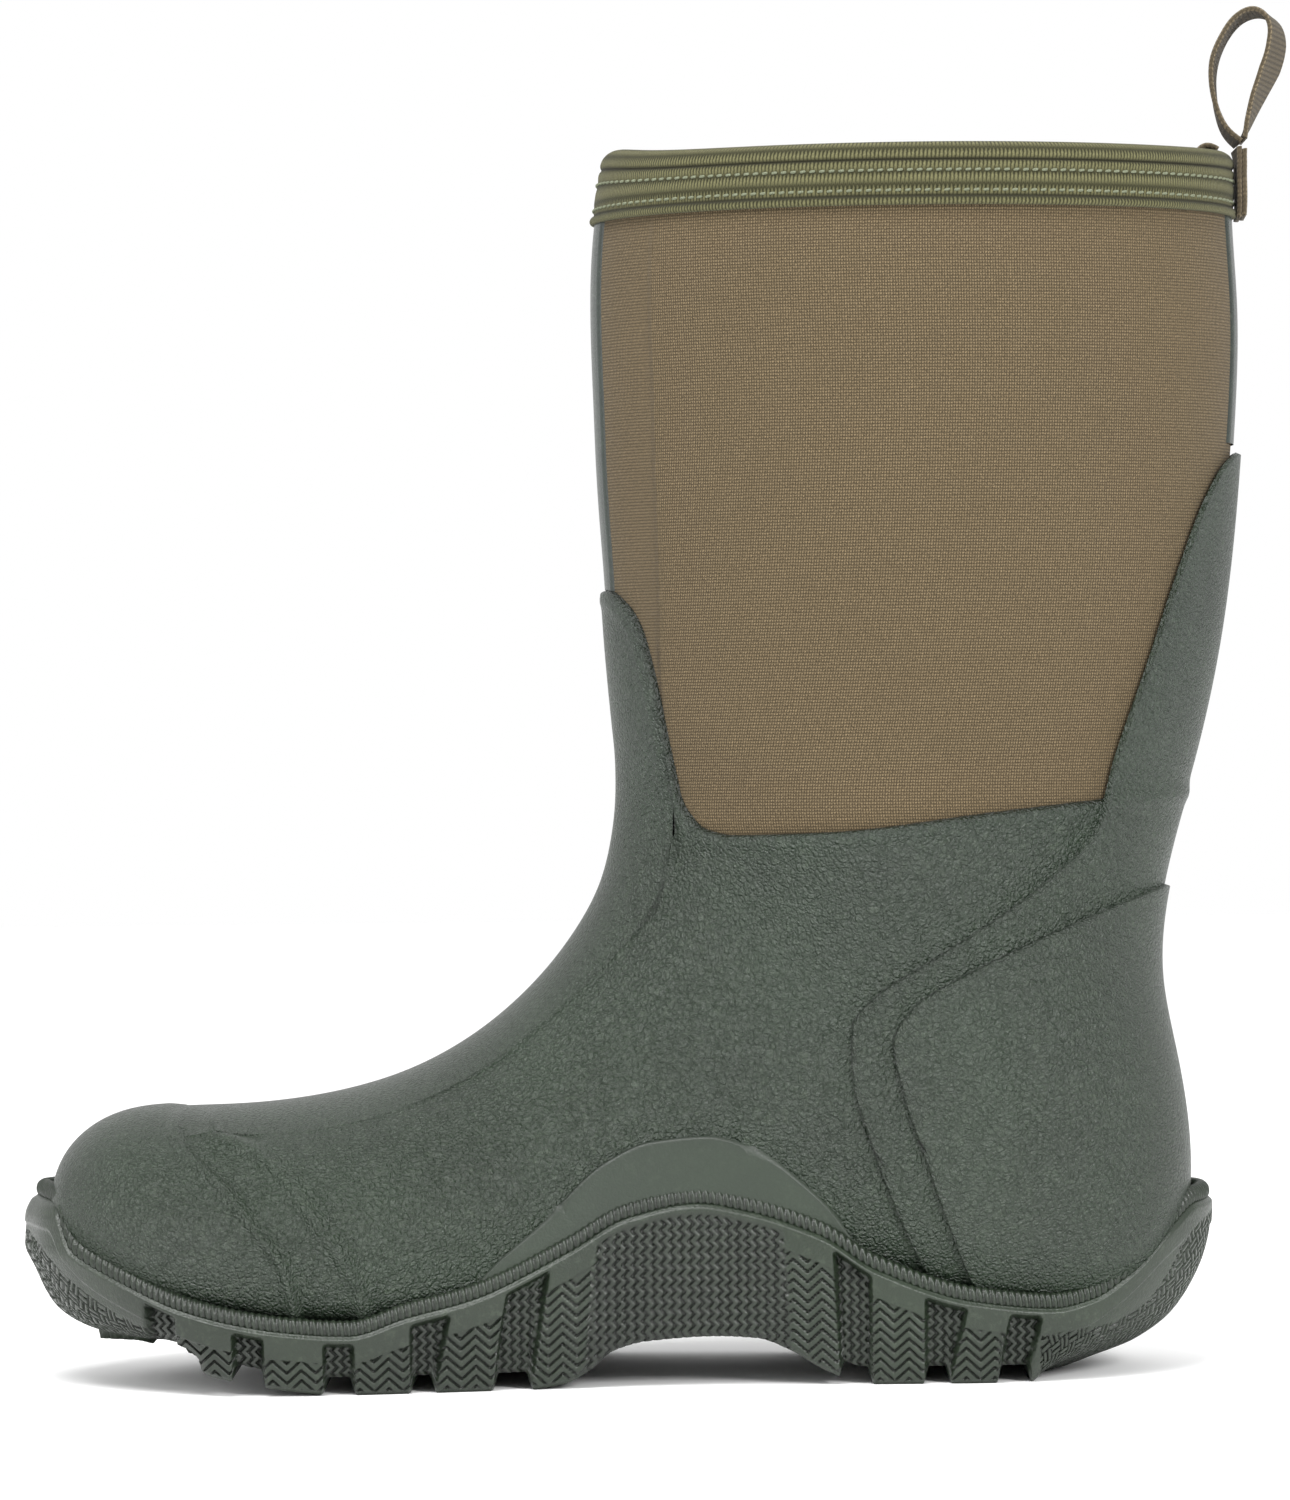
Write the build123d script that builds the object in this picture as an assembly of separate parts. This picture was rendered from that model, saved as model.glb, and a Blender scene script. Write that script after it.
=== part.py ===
from build123d import *
from functools import lru_cache
import math
import os

# One slip-on insulated rubber boot, the right one of a pair. Millimetres.
# -X is the toe, +Y the outer side of the foot, +Z up. The origin is on the ground, in the
# middle of the boot's footprint.

# Driving dimensions
LINING = 1.5  # jersey lining inside the neoprene
NEOPRENE = 5.0  # insulating neoprene, whose outside is the boot's reference surface
GLUE = 0.2  # film of cement between layers
GALOSH = 1.8  # rubber shell over the foot
TOE_CAP = 1.0
ARCH = 1.1
ACHILLES = 1.3
COUNTER = 1.3
TAPE = 0.5  # seam tapes at the front and the back of the shaft
TAPE_HALF = 11.0
RAND_THICK = 2.6
RAND_HEIGHT = 4.2
TOP = 319.2  # top edge of the neoprene
BINDING = 1.2  # knit band folded over the top edge
BINDING_LOW = 302.8
STITCH_HEIGHTS = {"upper": 312.4, "lower": 306.3}
STITCH = 0.8
GROOVE = 3.4  # depth of the grooves in the sole's wall
LUG = 5.0  # depth of the channels under the sole
CHANNEL = 6.0
FOOTBED = 5.0
COVER = 0.8
FOOTBED_INSET = 13.5  # from the sole's outline to the footbed's
FOOTBED_GAP = 0.5
LOOP_HALF = 10.0  # half width of the pull loop's webbing
LOOP_THICK = 2.0
SIDE = 120.0  # half width of a cutting prism, wider than the boot
SECTION_POINTS = 20

# Offsets of the layers' outer faces from the reference surface
GALOSH_OUT = GLUE + GALOSH
ACHILLES_OUT = GALOSH_OUT + GLUE + ACHILLES
COUNTER_OUT = ACHILLES_OUT + GLUE + COUNTER
CAVITY = -NEOPRENE - GLUE - LINING - GLUE

# Reference surface: sections from the toe, round the heel and up to the top edge. Each lies in
# a plane square to XZ and holds: front or top point x z, back or bottom point x z, half width,
# sideways shift of its middle, place of its widest line from front to back (0 to 1), and the
# exponents of its front and back halves (2 is an ellipse, more is squarer).
STATIONS = [
    (-157.6, 48.0, -157.6, 43.0, 6.0, -9.0, 0.50, 2.0, 2.0),
    (-155.8, 55.0, -155.2, 37.0, 18.0, -8.6, 0.52, 2.0, 2.1),
    (-151.5, 61.8, -150.0, 31.0, 28.0, -7.6, 0.55, 2.1, 2.3),
    (-143.5, 67.0, -142.0, 26.4, 37.0, -6.0, 0.58, 2.2, 2.5),
    (-129.0, 69.4, -128.0, 22.3, 45.0, -4.0, 0.66, 2.2, 3.3),
    (-109.0, 69.9, -107.5, 18.6, 50.0, -1.6, 0.68, 2.2, 3.8),
    (-87.0, 72.5, -85.0, 16.3, 52.0, 0.4, 0.70, 2.1, 4.0),
    (-66.5, 78.2, -61.5, 16.2, 50.5, 2.4, 0.68, 2.1, 4.0),
    (-48.3, 87.8, -36.5, 17.6, 47.0, 3.6, 0.64, 2.0, 4.0),
    (-32.5, 101.0, -6.0, 19.8, 43.6, 4.2, 0.60, 2.0, 4.0),
    (-21.6, 114.2, 28.0, 21.4, 41.6, 4.0, 0.58, 2.0, 3.8),
    (-14.2, 127.4, 64.0, 20.6, 41.4, 3.2, 0.60, 2.0, 4.0),
    (-10.8, 139.5, 97.0, 19.0, 42.0, 2.4, 0.64, 2.0, 4.0),
    (-9.4, 150.5, 123.5, 24.5, 41.6, 1.8, 0.62, 2.0, 3.6),
    (-9.3, 161.0, 133.9, 46.0, 41.2, 1.5, 0.58, 2.0, 3.0),
    (-10.0, 170.0, 131.6, 80.0, 41.0, 1.2, 0.53, 2.0, 2.5),
    (-11.0, 181.0, 127.9, 104.0, 41.4, 1.0, 0.50, 2.0, 2.2),
    (-12.0, 194.0, 131.2, 132.0, 42.2, 0.8, 0.50, 2.0, 2.0),
    (-12.9, 209.0, 139.2, 161.0, 43.8, 0.5, 0.50, 2.0, 2.0),
    (-14.0, 225.0, 146.4, 193.0, 45.6, 0.3, 0.50, 2.0, 2.0),
    (-14.8, 240.0, 150.6, 225.0, 47.0, 0.1, 0.50, 2.0, 2.0),
    (-15.3, 256.0, 153.0, 256.0, 48.1, 0.0, 0.50, 2.0, 2.0),
    (-15.8, 282.0, 153.4, 282.0, 49.2, 0.0, 0.50, 2.0, 2.0),
    (-14.4, 304.0, 152.3, 304.0, 49.6, 0.0, 0.50, 2.0, 2.0),
    (-12.0, TOP, 152.4, TOP, 49.8, 0.0, 0.50, 2.0, 2.0),
]

HEEL_STATION = 13  # station where the foot's sections meet the shaft's

# Outlines seen from the side, as x z
GALOSH_TOP = [(-60, 206.1), (-14.4, 206.1), (-9.0, 202.0), (-5.6, 196.4), (-2.1, 184.2), (1.6, 165.5), (3.5, 155.2),
              (6.0, 148.7), (11.1, 143.3), (18.5, 141.7), (45.2, 142.5), (87.8, 146.9), (115.7, 149.6),
              (180, 156)]
ACHILLES_FRONT = [(180, 243.5), (154.2, 241.1), (145.3, 231.0), (136.3, 210.2), (127.1, 184.1), (118.7, 160.9),
                  (113.5, 143.4), (97.8, 127.7), (69.8, 109.3), (55.4, 100.2), (48.8, 92.0), (48.5, 82.0),
                  (54.9, 56.8), (62.2, 38.5), (72, 18), (80, 0)]
COUNTER_FRONT = [(180, 137.0), (133.8, 127.6), (106.6, 118.1), (77.0, 104.9), (64.5, 97.0), (59.3, 87.5),
                 (61.5, 74.8), (65.7, 61.9), (73.7, 38.4), (82, 18), (90, 0)]
TOE_CAP_BACK = [(-121.0, 100), (-119.8, 72.0), (-108.8, 54.1), (-100.8, 44.0), (-93.6, 33.6), (-89.5, 22), (-86, 0)]
ARCH_TOP = [(-58, 8), (-48.2, 27.3), (-31.1, 43.1), (-15.2, 58.0), (-3.0, 63.4), (11.6, 64.7), (23.9, 61.5),
            (35.1, 53.4), (47.5, 40.7), (58, 22)]
# Upper edge of the sole's wall, toe to heel: high at the toe, the arch and the heel
WALL_TOP = [(-175, 49.5), (-160.0, 48.5), (-153.0, 36.0), (-144.0, 30.0), (-124.0, 22.0), (-96.0, 16.4), (-80.0, 15.3),
            (-66.0, 19.4), (-48.0, 24.0), (-24.3, 35.3), (-9.0, 43.8), (9.0, 47.2), (21.0, 45.2),
            (40.6, 38.6), (55.0, 29.6), (80.3, 21.2), (102.2, 19.2), (115.0, 21.5), (124.0, 27.5),
            (133.0, 38.5), (141.0, 44.5), (170, 46.0)]
# Underside of the sole with its lugs, toe to heel
TREAD = [(-175, 48), (-168.1, 43.8), (-168.1, 36.6), (-165.3, 30.0), (-161.0, 20.8), (-153.5, 14.9), (-137.2, 11.2),
         (-124.0, 7.6), (-113.0, 4.6), (-100.0, 2.0), (-80.0, 0.0), (-36.0, 0.0), (-26.0, 1.2), (-19.0, 4.6),
         (-13.0, 9.6), (-4.0, 12.0), (13.4, 13.0), (24.0, 12.4), (32.0, 9.4), (42.0, 3.6), (52.0, 0.0),
         (106.0, 0.0), (118.0, 2.6), (127.6, 7.0), (135.4, 14.0), (140.3, 22.4), (143.5, 30.4), (145.2, 38.3),
         (145.8, 44.4), (170, 47)]
# Grooves across the tread and up its wall, as front and back x
GROOVES = [(-132.6, -125.2), (-110.0, -102.4), (-87.0, -79.4), (-64.3, -57.4), (-43.0, -33.6), (45.0, 53.2),
           (67.4, 73.2), (89.5, 97.0)]
# Channels along the tread, as front and back x and y
CHANNELS = [(-102.0, -40.0, -17.0), (-102.0, -40.0, 21.0), (56.0, 73.0, 2.0), (90.0, 106.0, 2.0)]
# Plan of the sole as x, inner side y, outer side y
PLAN = [(-166.5, -16, -2), (-161, -30, 11), (-150, -42.5, 25.5), (-136, -51.5, 38.0), (-116, -56.7, 49.0),
        (-92, -57.5, 56.0), (-68, -54.7, 58.7), (-44, -50.1, 56.9), (-18, -45.3, 53.5), (10, -42.7, 50.3),
        (40, -43.1, 48.1), (72, -43.9, 46.7), (102, -41.9, 44.1), (124, -35.0, 37.0), (138, -22.0, 24.0)]
PLAN_TOE = (-168.1, -9.0)
PLAN_HEEL = (145.8, 1.0)
# How far the sole's wall leans out, as height and shift of the outline
WALL_LEAN = [(0.0, -4.5), (16.0, -0.8), (34.0, 0.0), (54.0, -1.5)]
# Bottom of the pocket for the midsole
POCKET = [(-150, 22.0), (-140, 19.5), (-124, 15.5), (-100, 10.5), (-80, 9.0), (-36, 9.0), (-20, 12.0), (-4, 15.3),
          (13, 15.8), (26, 15.3), (42, 11.0), (55, 9.0), (106, 9.0), (118, 11.5), (128, 17.0)]
# Top of the board on the cavity's bottom
BOARD_TOP = [(-160, 44.0), (-146, 36.0), (-130, 31.0), (-108, 27.0), (-85, 25.0), (-55, 25.0), (-10, 28.0),
             (30, 29.8), (65, 29.2), (97, 27.8), (125, 28.5), (150, 32.0)]
# Middle of the pull loop's webbing, x z, once round from its foot
LOOP = [(155.2, 322.6), (152.4, 325.2), (150.0, 330.5), (148.7, 337.0), (149.0, 344.0), (151.8, 350.8), (156.2, 355.8),
        (160.6, 357.0), (164.2, 354.6), (165.2, 349.0), (163.2, 342.0), (160.0, 334.6), (157.8, 326.6)]


def normals(points):
    """Unit normals of an open curve through the points, to the left of its direction."""
    result = []
    for i in range(len(points)):
        a = points[max(i - 1, 0)]
        b = points[min(i + 1, len(points) - 1)]
        length = math.hypot(b[0] - a[0], b[1] - a[1])
        result.append((-(b[1] - a[1]) / length, (b[0] - a[0]) / length))
    return result


FRONT_NORMALS = normals([(s[0], s[1]) for s in STATIONS])
BACK_NORMALS = [(-x, -z) for x, z in normals([(s[2], s[3]) for s in STATIONS])]
FRONT_NORMALS[0] = (-1.0, 0.0)
BACK_NORMALS[0] = (-1.0, 0.0)
for last in (-1, -2, -3):
    FRONT_NORMALS[last] = (-1.0, 0.0)
    BACK_NORMALS[last] = (1.0, 0.0)


def section(i, out, lift=0.0):
    """Closed curve of station i, its halves superellipses, moved outwards by out."""
    fx, fz, bx, bz, half, shift, widest, front_power, back_power = STATIONS[i]
    fx += out * FRONT_NORMALS[i][0]
    fz += out * FRONT_NORMALS[i][1] + lift
    bx += out * BACK_NORMALS[i][0]
    bz += out * BACK_NORMALS[i][1] + lift
    points = []
    for j in range(SECTION_POINTS):
        angle = 2 * math.pi * j / SECTION_POINTS
        c, s = math.cos(angle), math.sin(angle)
        power, share = (front_power, widest) if c >= 0 else (back_power, 1 - widest)
        t = widest - share * math.copysign(abs(c) ** (2 / power), c)
        across = -math.copysign(abs(s) ** (2 / power), s)
        points.append(Vector(fx + t * (bx - fx), shift + (half + out) * across, fz + t * (bz - fz)))
    even = [j / SECTION_POINTS for j in range(SECTION_POINTS + 1)]
    return Wire([Edge.make_spline(points, periodic=True, parameters=even)])


@lru_cache(maxsize=None)
def form(out, lift=0.0):
    """Solid inside the reference surface moved outwards by out, its top edge raised by lift."""
    first = 0 if STATIONS[0][4] + out > 5 else 1
    wires = [section(i, out) for i in range(first, len(STATIONS))]
    if lift:
        wires.append(section(len(STATIONS) - 1, out, lift))
    foot = Solid.make_loft(wires[:HEEL_STATION - first + 1])
    shaft = Solid.make_loft(wires[HEEL_STATION - first:])
    return largest(foot.fix() + shaft.fix())


def band(out_from, out_to):
    """Closed layer between two offsets of the reference surface, open at the top."""
    return form(out_to) - form(out_from, 6)


def prism(points, closing, y_from=-SIDE, y_to=SIDE):
    """Solid across the boot under a smooth edge through the points, closed by straight lines."""
    edges = [Spline(*points), Polyline(points[-1], *closing, points[0])]
    face = Plane.XZ * make_face(edges)
    return Pos(0, y_to, 0) * extrude(face, amount=y_to - y_from)


def largest(shape):
    return max(shape.solids(), key=lambda solid: solid.volume)


def block(x_from, x_to, y_from, y_to, z_from, z_to):
    box = Box(x_to - x_from, y_to - y_from, z_to - z_from)
    return Pos((x_from + x_to) / 2, (y_from + y_to) / 2, (z_from + z_to) / 2) * box


def under_galosh_edge(drop=0.0):
    return Pos(0, 0, -drop) * prism(GALOSH_TOP, [(180, -60), (-200, -60), (-200, 206.1)])


def under_wall_top(rise):
    return Pos(0, 0, rise) * prism(WALL_TOP, [(170, -60), (-175, -60)])


def outline_wire(grow, z):
    """The sole's outline in plan, grown outwards, at height z."""
    inner = [(x, y_in - grow) for x, y_in, y_out in PLAN]
    outer = [(x, y_out + grow) for x, y_in, y_out in reversed(PLAN)]
    points = [(PLAN_TOE[0] - grow, PLAN_TOE[1])] + inner + [(PLAN_HEEL[0] + grow, PLAN_HEEL[1])] + outer
    return Wire([Edge.make_spline([Vector(x, y, z) for x, y in points], periodic=True)])


def sole_block(grow):
    return Solid.make_loft([outline_wire(lean + grow, z) for z, lean in WALL_LEAN])


def make_lining():
    return {"lining": largest(band(CAVITY + GLUE, -NEOPRENE - GLUE))}


def make_neoprene():
    """The foot sock under the rubber, and the shaft's two panels, seamed at the front and back."""
    shell = band(-NEOPRENE, 0)
    shaft = shell - under_galosh_edge(12 - GLUE)
    return {
        "neoprene_foot": largest(shell & under_galosh_edge(12)),
        "shaft_panel_inner": largest(shaft & block(-200, 200, -SIDE, -GLUE / 2, 0, 400)),
        "shaft_panel_outer": largest(shaft & block(-200, 200, GLUE / 2, SIDE, 0, 400)),
    }


def make_galosh():
    return {"galosh": largest(band(GLUE, GALOSH_OUT) & under_galosh_edge())}


def make_overlays():
    """Rubber patches cemented over the galosh. All of them end above the rand."""
    above_rand = under_wall_top(RAND_HEIGHT + 2 * GLUE)
    toe = form(GALOSH_OUT + GLUE + TOE_CAP) - form(GALOSH_OUT + GLUE, 6)
    arch = form(GALOSH_OUT + GLUE + ARCH) - form(GALOSH_OUT + GLUE, 6)
    achilles = form(ACHILLES_OUT) - form(GALOSH_OUT + GLUE, 6)
    counter = form(COUNTER_OUT) - form(ACHILLES_OUT + GLUE, 6)
    arch = arch & prism(ARCH_TOP, [(58, 8)])
    counter_zone = prism(COUNTER_FRONT, [(200, 0), (200, 137)])
    achilles_zone = prism(ACHILLES_FRONT, [(200, 0), (200, 243.5)])
    parts = {
        "toe_cap": toe & prism(TOE_CAP_BACK, [(-200, 0), (-200, 100)]),
        "arch_patch_inner": arch & block(-200, 200, -SIDE, 0, 0, 400),
        "arch_patch_outer": arch & block(-200, 200, 0, SIDE, 0, 400),
        "achilles_patch": achilles & achilles_zone,
        "heel_counter": counter & counter_zone,
    }
    return {name: largest(shape - above_rand) for name, shape in parts.items()}


def make_shaft_trim():
    """Seam tapes, and the knit band folded over the top edge with its two rows of stitches."""
    tape = band(GLUE, GLUE + TAPE)
    front = block(-60, 40, -TAPE_HALF, TAPE_HALF, GALOSH_TOP[1][1] + 1, BINDING_LOW - GLUE)
    back = block(100, 180, -TAPE_HALF, TAPE_HALF, ACHILLES_FRONT[0][1] + 1, BINDING_LOW - GLUE)
    top_zone = block(-60, 200, -SIDE, SIDE, BINDING_LOW, TOP + GLUE + BINDING)
    outer_face = GLUE + BINDING
    folded = (form(outer_face, 4) - form(CAVITY - BINDING, 8)) & top_zone
    filling = (form(GLUE) - form(CAVITY, 6)) & block(-60, 200, -SIDE, SIDE, 0, TOP + GLUE)
    parts = {
        "front_seam_tape": tape & front,
        "back_seam_tape": tape & back,
        "topline_binding": folded - filling,
    }
    under_loop_foot = block(140, 180, -LOOP_HALF - GLUE, LOOP_HALF + GLUE, BINDING_LOW, TOP)
    for name, z in STITCH_HEIGHTS.items():
        row = form(outer_face + GLUE + STITCH) - form(outer_face + GLUE)
        row = row & block(-60, 200, -SIDE, SIDE, z - STITCH / 2, z + STITCH / 2)
        parts["binding_stitch_" + name] = row - under_loop_foot
    return {name: largest(shape) for name, shape in parts.items()}


def make_sole():
    """Outsole: a rubber cup round the foot with a grooved wall and lugs, and the rand on its edge."""
    side = prism(TREAD, [(170, 60), (-175, 60)])
    foot = form(GALOSH_OUT + GLUE)
    pocket = sole_block(-12) & prism(POCKET, [(128, 60), (-150, 60)])
    core = sole_block(-GROOVE) & (Pos(0, 0, LUG) * side)
    sole = (sole_block(0) & side & under_wall_top(0)) - foot - pocket
    for x_front, x_back in GROOVES:
        top = min(wall_top(x_front), wall_top(x_back)) - 4.5
        sole = sole - (block(x_front, x_back, -SIDE, SIDE, -20, top) - core)
    for x_from, x_to, y in CHANNELS:
        sole = sole - block(x_from, x_to, y - CHANNEL / 2, y + CHANNEL / 2, -20, LUG)
    rand_zone = under_wall_top(RAND_HEIGHT + GLUE) - under_wall_top(GLUE)
    rand = (form(GALOSH_OUT + GLUE + RAND_THICK) - foot) & rand_zone
    midsole = (sole_block(-12.2) & (Pos(0, 0, GLUE) * prism(POCKET, [(128, 60), (-150, 60)]))) - foot
    midsole = midsole & block(-146, 124, -SIDE, SIDE, 0, 34) & under_wall_top(-1)
    return {"outsole": largest(sole), "rand": largest(rand), "midsole": largest(midsole)}


def wall_top(x):
    """Height of the wall's top edge at x."""
    for (x0, z0), (x1, z1) in zip(WALL_TOP, WALL_TOP[1:]):
        if x0 <= x <= x1:
            return z0 + (z1 - z0) * (x - x0) / (x1 - x0)
    return 0.0


def make_footbed():
    """Board on the cavity's bottom, and the removable insulating footbed with its cloth cover."""
    def under_board_top(rise):
        return Pos(0, 0, rise) * prism(BOARD_TOP, [(150, -40), (-160, -40)])

    board_zone = block(-146, 120, -SIDE, SIDE, 0, 60)
    footbed_zone = block(-140, 117, -SIDE, SIDE, 0, 60) & sole_block(-FOOTBED_INSET)
    cavity = form(CAVITY - FOOTBED_GAP)
    foot_top = FOOTBED_GAP + FOOTBED
    footbed = cavity & footbed_zone & (under_board_top(foot_top) - under_board_top(FOOTBED_GAP))
    cover = cavity & footbed_zone & (under_board_top(foot_top + COVER + 0.1) - under_board_top(foot_top + 0.1))
    return {
        "insole_board": largest(form(CAVITY - GLUE) & board_zone & under_board_top(0)),
        "footbed": largest(footbed),
        "footbed_cover": largest(cover),
    }


def make_pull_loop():
    """Webbing loop at the back of the top edge, and its stitched foot outside the band."""
    def ring(out):
        around = LOOP[-1:] + LOOP + LOOP[:1]
        sides = normals(around)[1:-1]
        points = [Vector(x + out * nx, 0, z + out * nz) for (x, z), (nx, nz) in zip(LOOP, sides)]
        return Wire([Edge.make_spline(points, periodic=True)])

    rings = [Face(ring(side * LOOP_THICK / 2)) for side in (1, -1)]
    solids = [extrude(Pos(0, -LOOP_HALF, 0) * face, amount=2 * LOOP_HALF, dir=(0, 1, 0)) for face in rings]
    solids.sort(key=lambda solid: solid.volume)
    band_out = GLUE + BINDING + GLUE
    foot_zone = block(140, 180, -LOOP_HALF, LOOP_HALF, BINDING_LOW, TOP - 1)
    foot = (form(band_out + LOOP_THICK) - form(band_out)) & foot_zone
    return {"pull_loop": largest(solids[1] - solids[0]), "pull_loop_foot": largest(foot)}


def main():
    os.makedirs("parts", exist_ok=True)
    makers = [make_lining, make_neoprene, make_galosh, make_overlays, make_shaft_trim, make_sole, make_footbed,
              make_pull_loop]
    for make in makers:
        for name, shape in make().items():
            export_step(shape, "parts/" + name + ".step")
            print(name, round(shape.volume / 1000, 1), "cm3", shape.is_valid)


if __name__ == "__main__":
    main()
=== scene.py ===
import math
import bpy
import numpy as np
from mathutils import Matrix, Vector


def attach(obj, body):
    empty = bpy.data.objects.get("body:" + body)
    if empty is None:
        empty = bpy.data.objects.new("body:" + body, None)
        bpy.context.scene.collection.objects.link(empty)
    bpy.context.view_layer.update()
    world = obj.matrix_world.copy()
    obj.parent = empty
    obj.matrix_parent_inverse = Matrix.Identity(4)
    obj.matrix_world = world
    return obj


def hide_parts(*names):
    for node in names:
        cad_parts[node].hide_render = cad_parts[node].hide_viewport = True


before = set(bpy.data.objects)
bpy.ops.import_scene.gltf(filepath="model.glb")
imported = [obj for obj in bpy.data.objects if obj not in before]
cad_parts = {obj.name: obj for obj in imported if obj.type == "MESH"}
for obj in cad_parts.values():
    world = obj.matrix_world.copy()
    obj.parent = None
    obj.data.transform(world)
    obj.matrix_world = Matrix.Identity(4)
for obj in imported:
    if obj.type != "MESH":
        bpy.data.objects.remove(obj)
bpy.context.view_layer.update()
mm = 0.001

# Sections from the toe round the heel to the top edge, in mm: front point x z, back point x z,
# half width, sideways shift, where the widest line is (0 front, 1 back), front and back powers.
form = {
    "stations": [
        (-157.6, 48.0, -157.6, 43.0, 6.0, -9.0, 0.50, 2.0, 2.0),
        (-155.8, 55.0, -155.2, 37.0, 18.0, -8.6, 0.52, 2.0, 2.1),
        (-151.5, 61.8, -150.0, 31.0, 28.0, -7.6, 0.55, 2.1, 2.3),
        (-143.5, 67.0, -142.0, 26.4, 37.0, -6.0, 0.58, 2.2, 2.5),
        (-129.0, 69.4, -128.0, 22.3, 45.0, -4.0, 0.66, 2.2, 3.3),
        (-109.0, 69.9, -107.5, 18.6, 50.0, -1.6, 0.68, 2.2, 3.8),
        (-87.0, 72.5, -85.0, 16.3, 52.0, 0.4, 0.70, 2.1, 4.0),
        (-66.5, 78.2, -61.5, 16.2, 50.5, 2.4, 0.68, 2.1, 4.0),
        (-48.3, 87.8, -36.5, 17.6, 47.0, 3.6, 0.64, 2.0, 4.0),
        (-32.5, 101.0, -6.0, 19.8, 43.6, 4.2, 0.60, 2.0, 4.0),
        (-21.6, 114.2, 28.0, 21.4, 41.6, 4.0, 0.58, 2.0, 3.8),
        (-14.2, 127.4, 64.0, 20.6, 41.4, 3.2, 0.60, 2.0, 4.0),
        (-10.8, 139.5, 97.0, 19.0, 42.0, 2.4, 0.64, 2.0, 4.0),
        (-9.4, 150.5, 123.5, 24.5, 41.6, 1.8, 0.62, 2.0, 3.6),
        (-9.3, 161.0, 133.9, 46.0, 41.2, 1.5, 0.58, 2.0, 3.0),
        (-10.0, 170.0, 131.6, 80.0, 41.0, 1.2, 0.53, 2.0, 2.5),
        (-11.0, 181.0, 127.9, 104.0, 41.4, 1.0, 0.50, 2.0, 2.2),
        (-12.0, 194.0, 131.2, 132.0, 42.2, 0.8, 0.50, 2.0, 2.0),
        (-12.9, 209.0, 139.2, 161.0, 43.8, 0.5, 0.50, 2.0, 2.0),
        (-14.0, 225.0, 146.4, 193.0, 45.6, 0.3, 0.50, 2.0, 2.0),
        (-14.8, 240.0, 150.6, 225.0, 47.0, 0.1, 0.50, 2.0, 2.0),
        (-15.3, 256.0, 153.0, 256.0, 48.1, 0.0, 0.50, 2.0, 2.0),
        (-15.8, 282.0, 153.4, 282.0, 49.2, 0.0, 0.50, 2.0, 2.0),
        (-14.4, 304.0, 152.3, 304.0, 49.6, 0.0, 0.50, 2.0, 2.0),
        (-12.0, 319.2, 152.4, 319.2, 49.8, 0.0, 0.50, 2.0, 2.0),
    ],
    "galoshOut": 2.0,
    "toeCap": 0.9,
    "arch": 1.2,
    "achilles": 1.2,
    "counter": 1.4,
}

# Outlines seen from the side, x z in mm, each with x or z always growing or falling
line = {
    "galoshTop": [(-60, 206.1), (-14.4, 206.1), (-9.0, 202.0), (-5.6, 196.4), (-2.1, 184.2), (1.6, 165.5),
                  (3.5, 155.2), (6.0, 148.7), (11.1, 143.3), (18.5, 141.7), (45.2, 142.5), (87.8, 146.9),
                  (115.7, 149.6), (180, 156)],
    "achillesFront": [(180, 243.5), (154.2, 241.1), (145.3, 231.0), (136.3, 210.2), (127.1, 184.1),
                      (118.7, 160.9), (113.5, 143.4), (97.8, 127.7), (69.8, 109.3), (55.4, 100.2),
                      (48.8, 92.0), (48.5, 82.0), (54.9, 56.8), (62.2, 38.5), (72, 18), (80, 0)],
    "counterFront": [(180, 137.0), (133.8, 127.6), (106.6, 118.1), (77.0, 104.9), (64.5, 97.0), (59.3, 87.5),
                     (61.5, 74.8), (65.7, 61.9), (73.7, 38.4), (82, 18), (90, 0)],
    "toeRibFront": [(-124.5, 80), (-122.5, 67.5), (-108.8, 54.1), (-100.8, 44.0), (-93.6, 33.6), (-91.0, 22),
                    (-90, 0)],
    "toeCapBack": [(-119.5, 80), (-116.0, 66.4), (-106.1, 62.2), (-95.6, 54.2), (-89.0, 45.2), (-82.3, 36.3),
                   (-77.3, 26.3), (-75, 0)],
    "archTop": [(-58, 8), (-48.2, 27.3), (-31.1, 43.1), (-15.2, 58.0), (-3.0, 63.4), (11.6, 64.7), (23.9, 61.5),
                (35.1, 53.4), (47.5, 40.7), (58, 22)],
    "wallTop": [(-175, 49.5), (-160.0, 48.5), (-153.0, 36.0), (-144.0, 30.0), (-124.0, 22.0), (-96.0, 16.4),
                (-80.0, 15.3), (-66.0, 19.4), (-48.0, 24.0), (-24.3, 35.3), (-9.0, 43.8), (9.0, 47.2),
                (21.0, 45.2), (40.6, 38.6), (55.0, 29.6), (80.3, 21.2), (102.2, 19.2), (115.0, 21.5),
                (124.0, 27.5), (133.0, 38.5), (141.0, 44.5), (170, 46.0)],
    "tread": [(-168.1, 43.8), (-168.1, 36.6), (-165.3, 30.0), (-161.0, 20.8), (-153.5, 14.9), (-137.2, 11.2),
              (-124.0, 7.6), (-113.0, 4.6), (-100.0, 2.0), (-80.0, 0.0), (-36.0, 0.0), (-26.0, 1.2),
              (-19.0, 4.6), (-13.0, 9.6), (-4.0, 12.0), (13.4, 13.0), (24.0, 12.4), (32.0, 9.4), (42.0, 3.6),
              (52.0, 0.0), (106.0, 0.0), (118.0, 2.6), (127.6, 7.0), (135.4, 14.0), (140.3, 22.4),
              (143.5, 30.4), (145.2, 38.3), (145.8, 44.4)],
}


def smooth(edge0, edge1, x):  # 0 below edge0, 1 above edge1, an S between
    t = np.clip((x - edge0) / (edge1 - edge0), 0, 1)
    return t * t * (3 - 2 * t)


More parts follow.
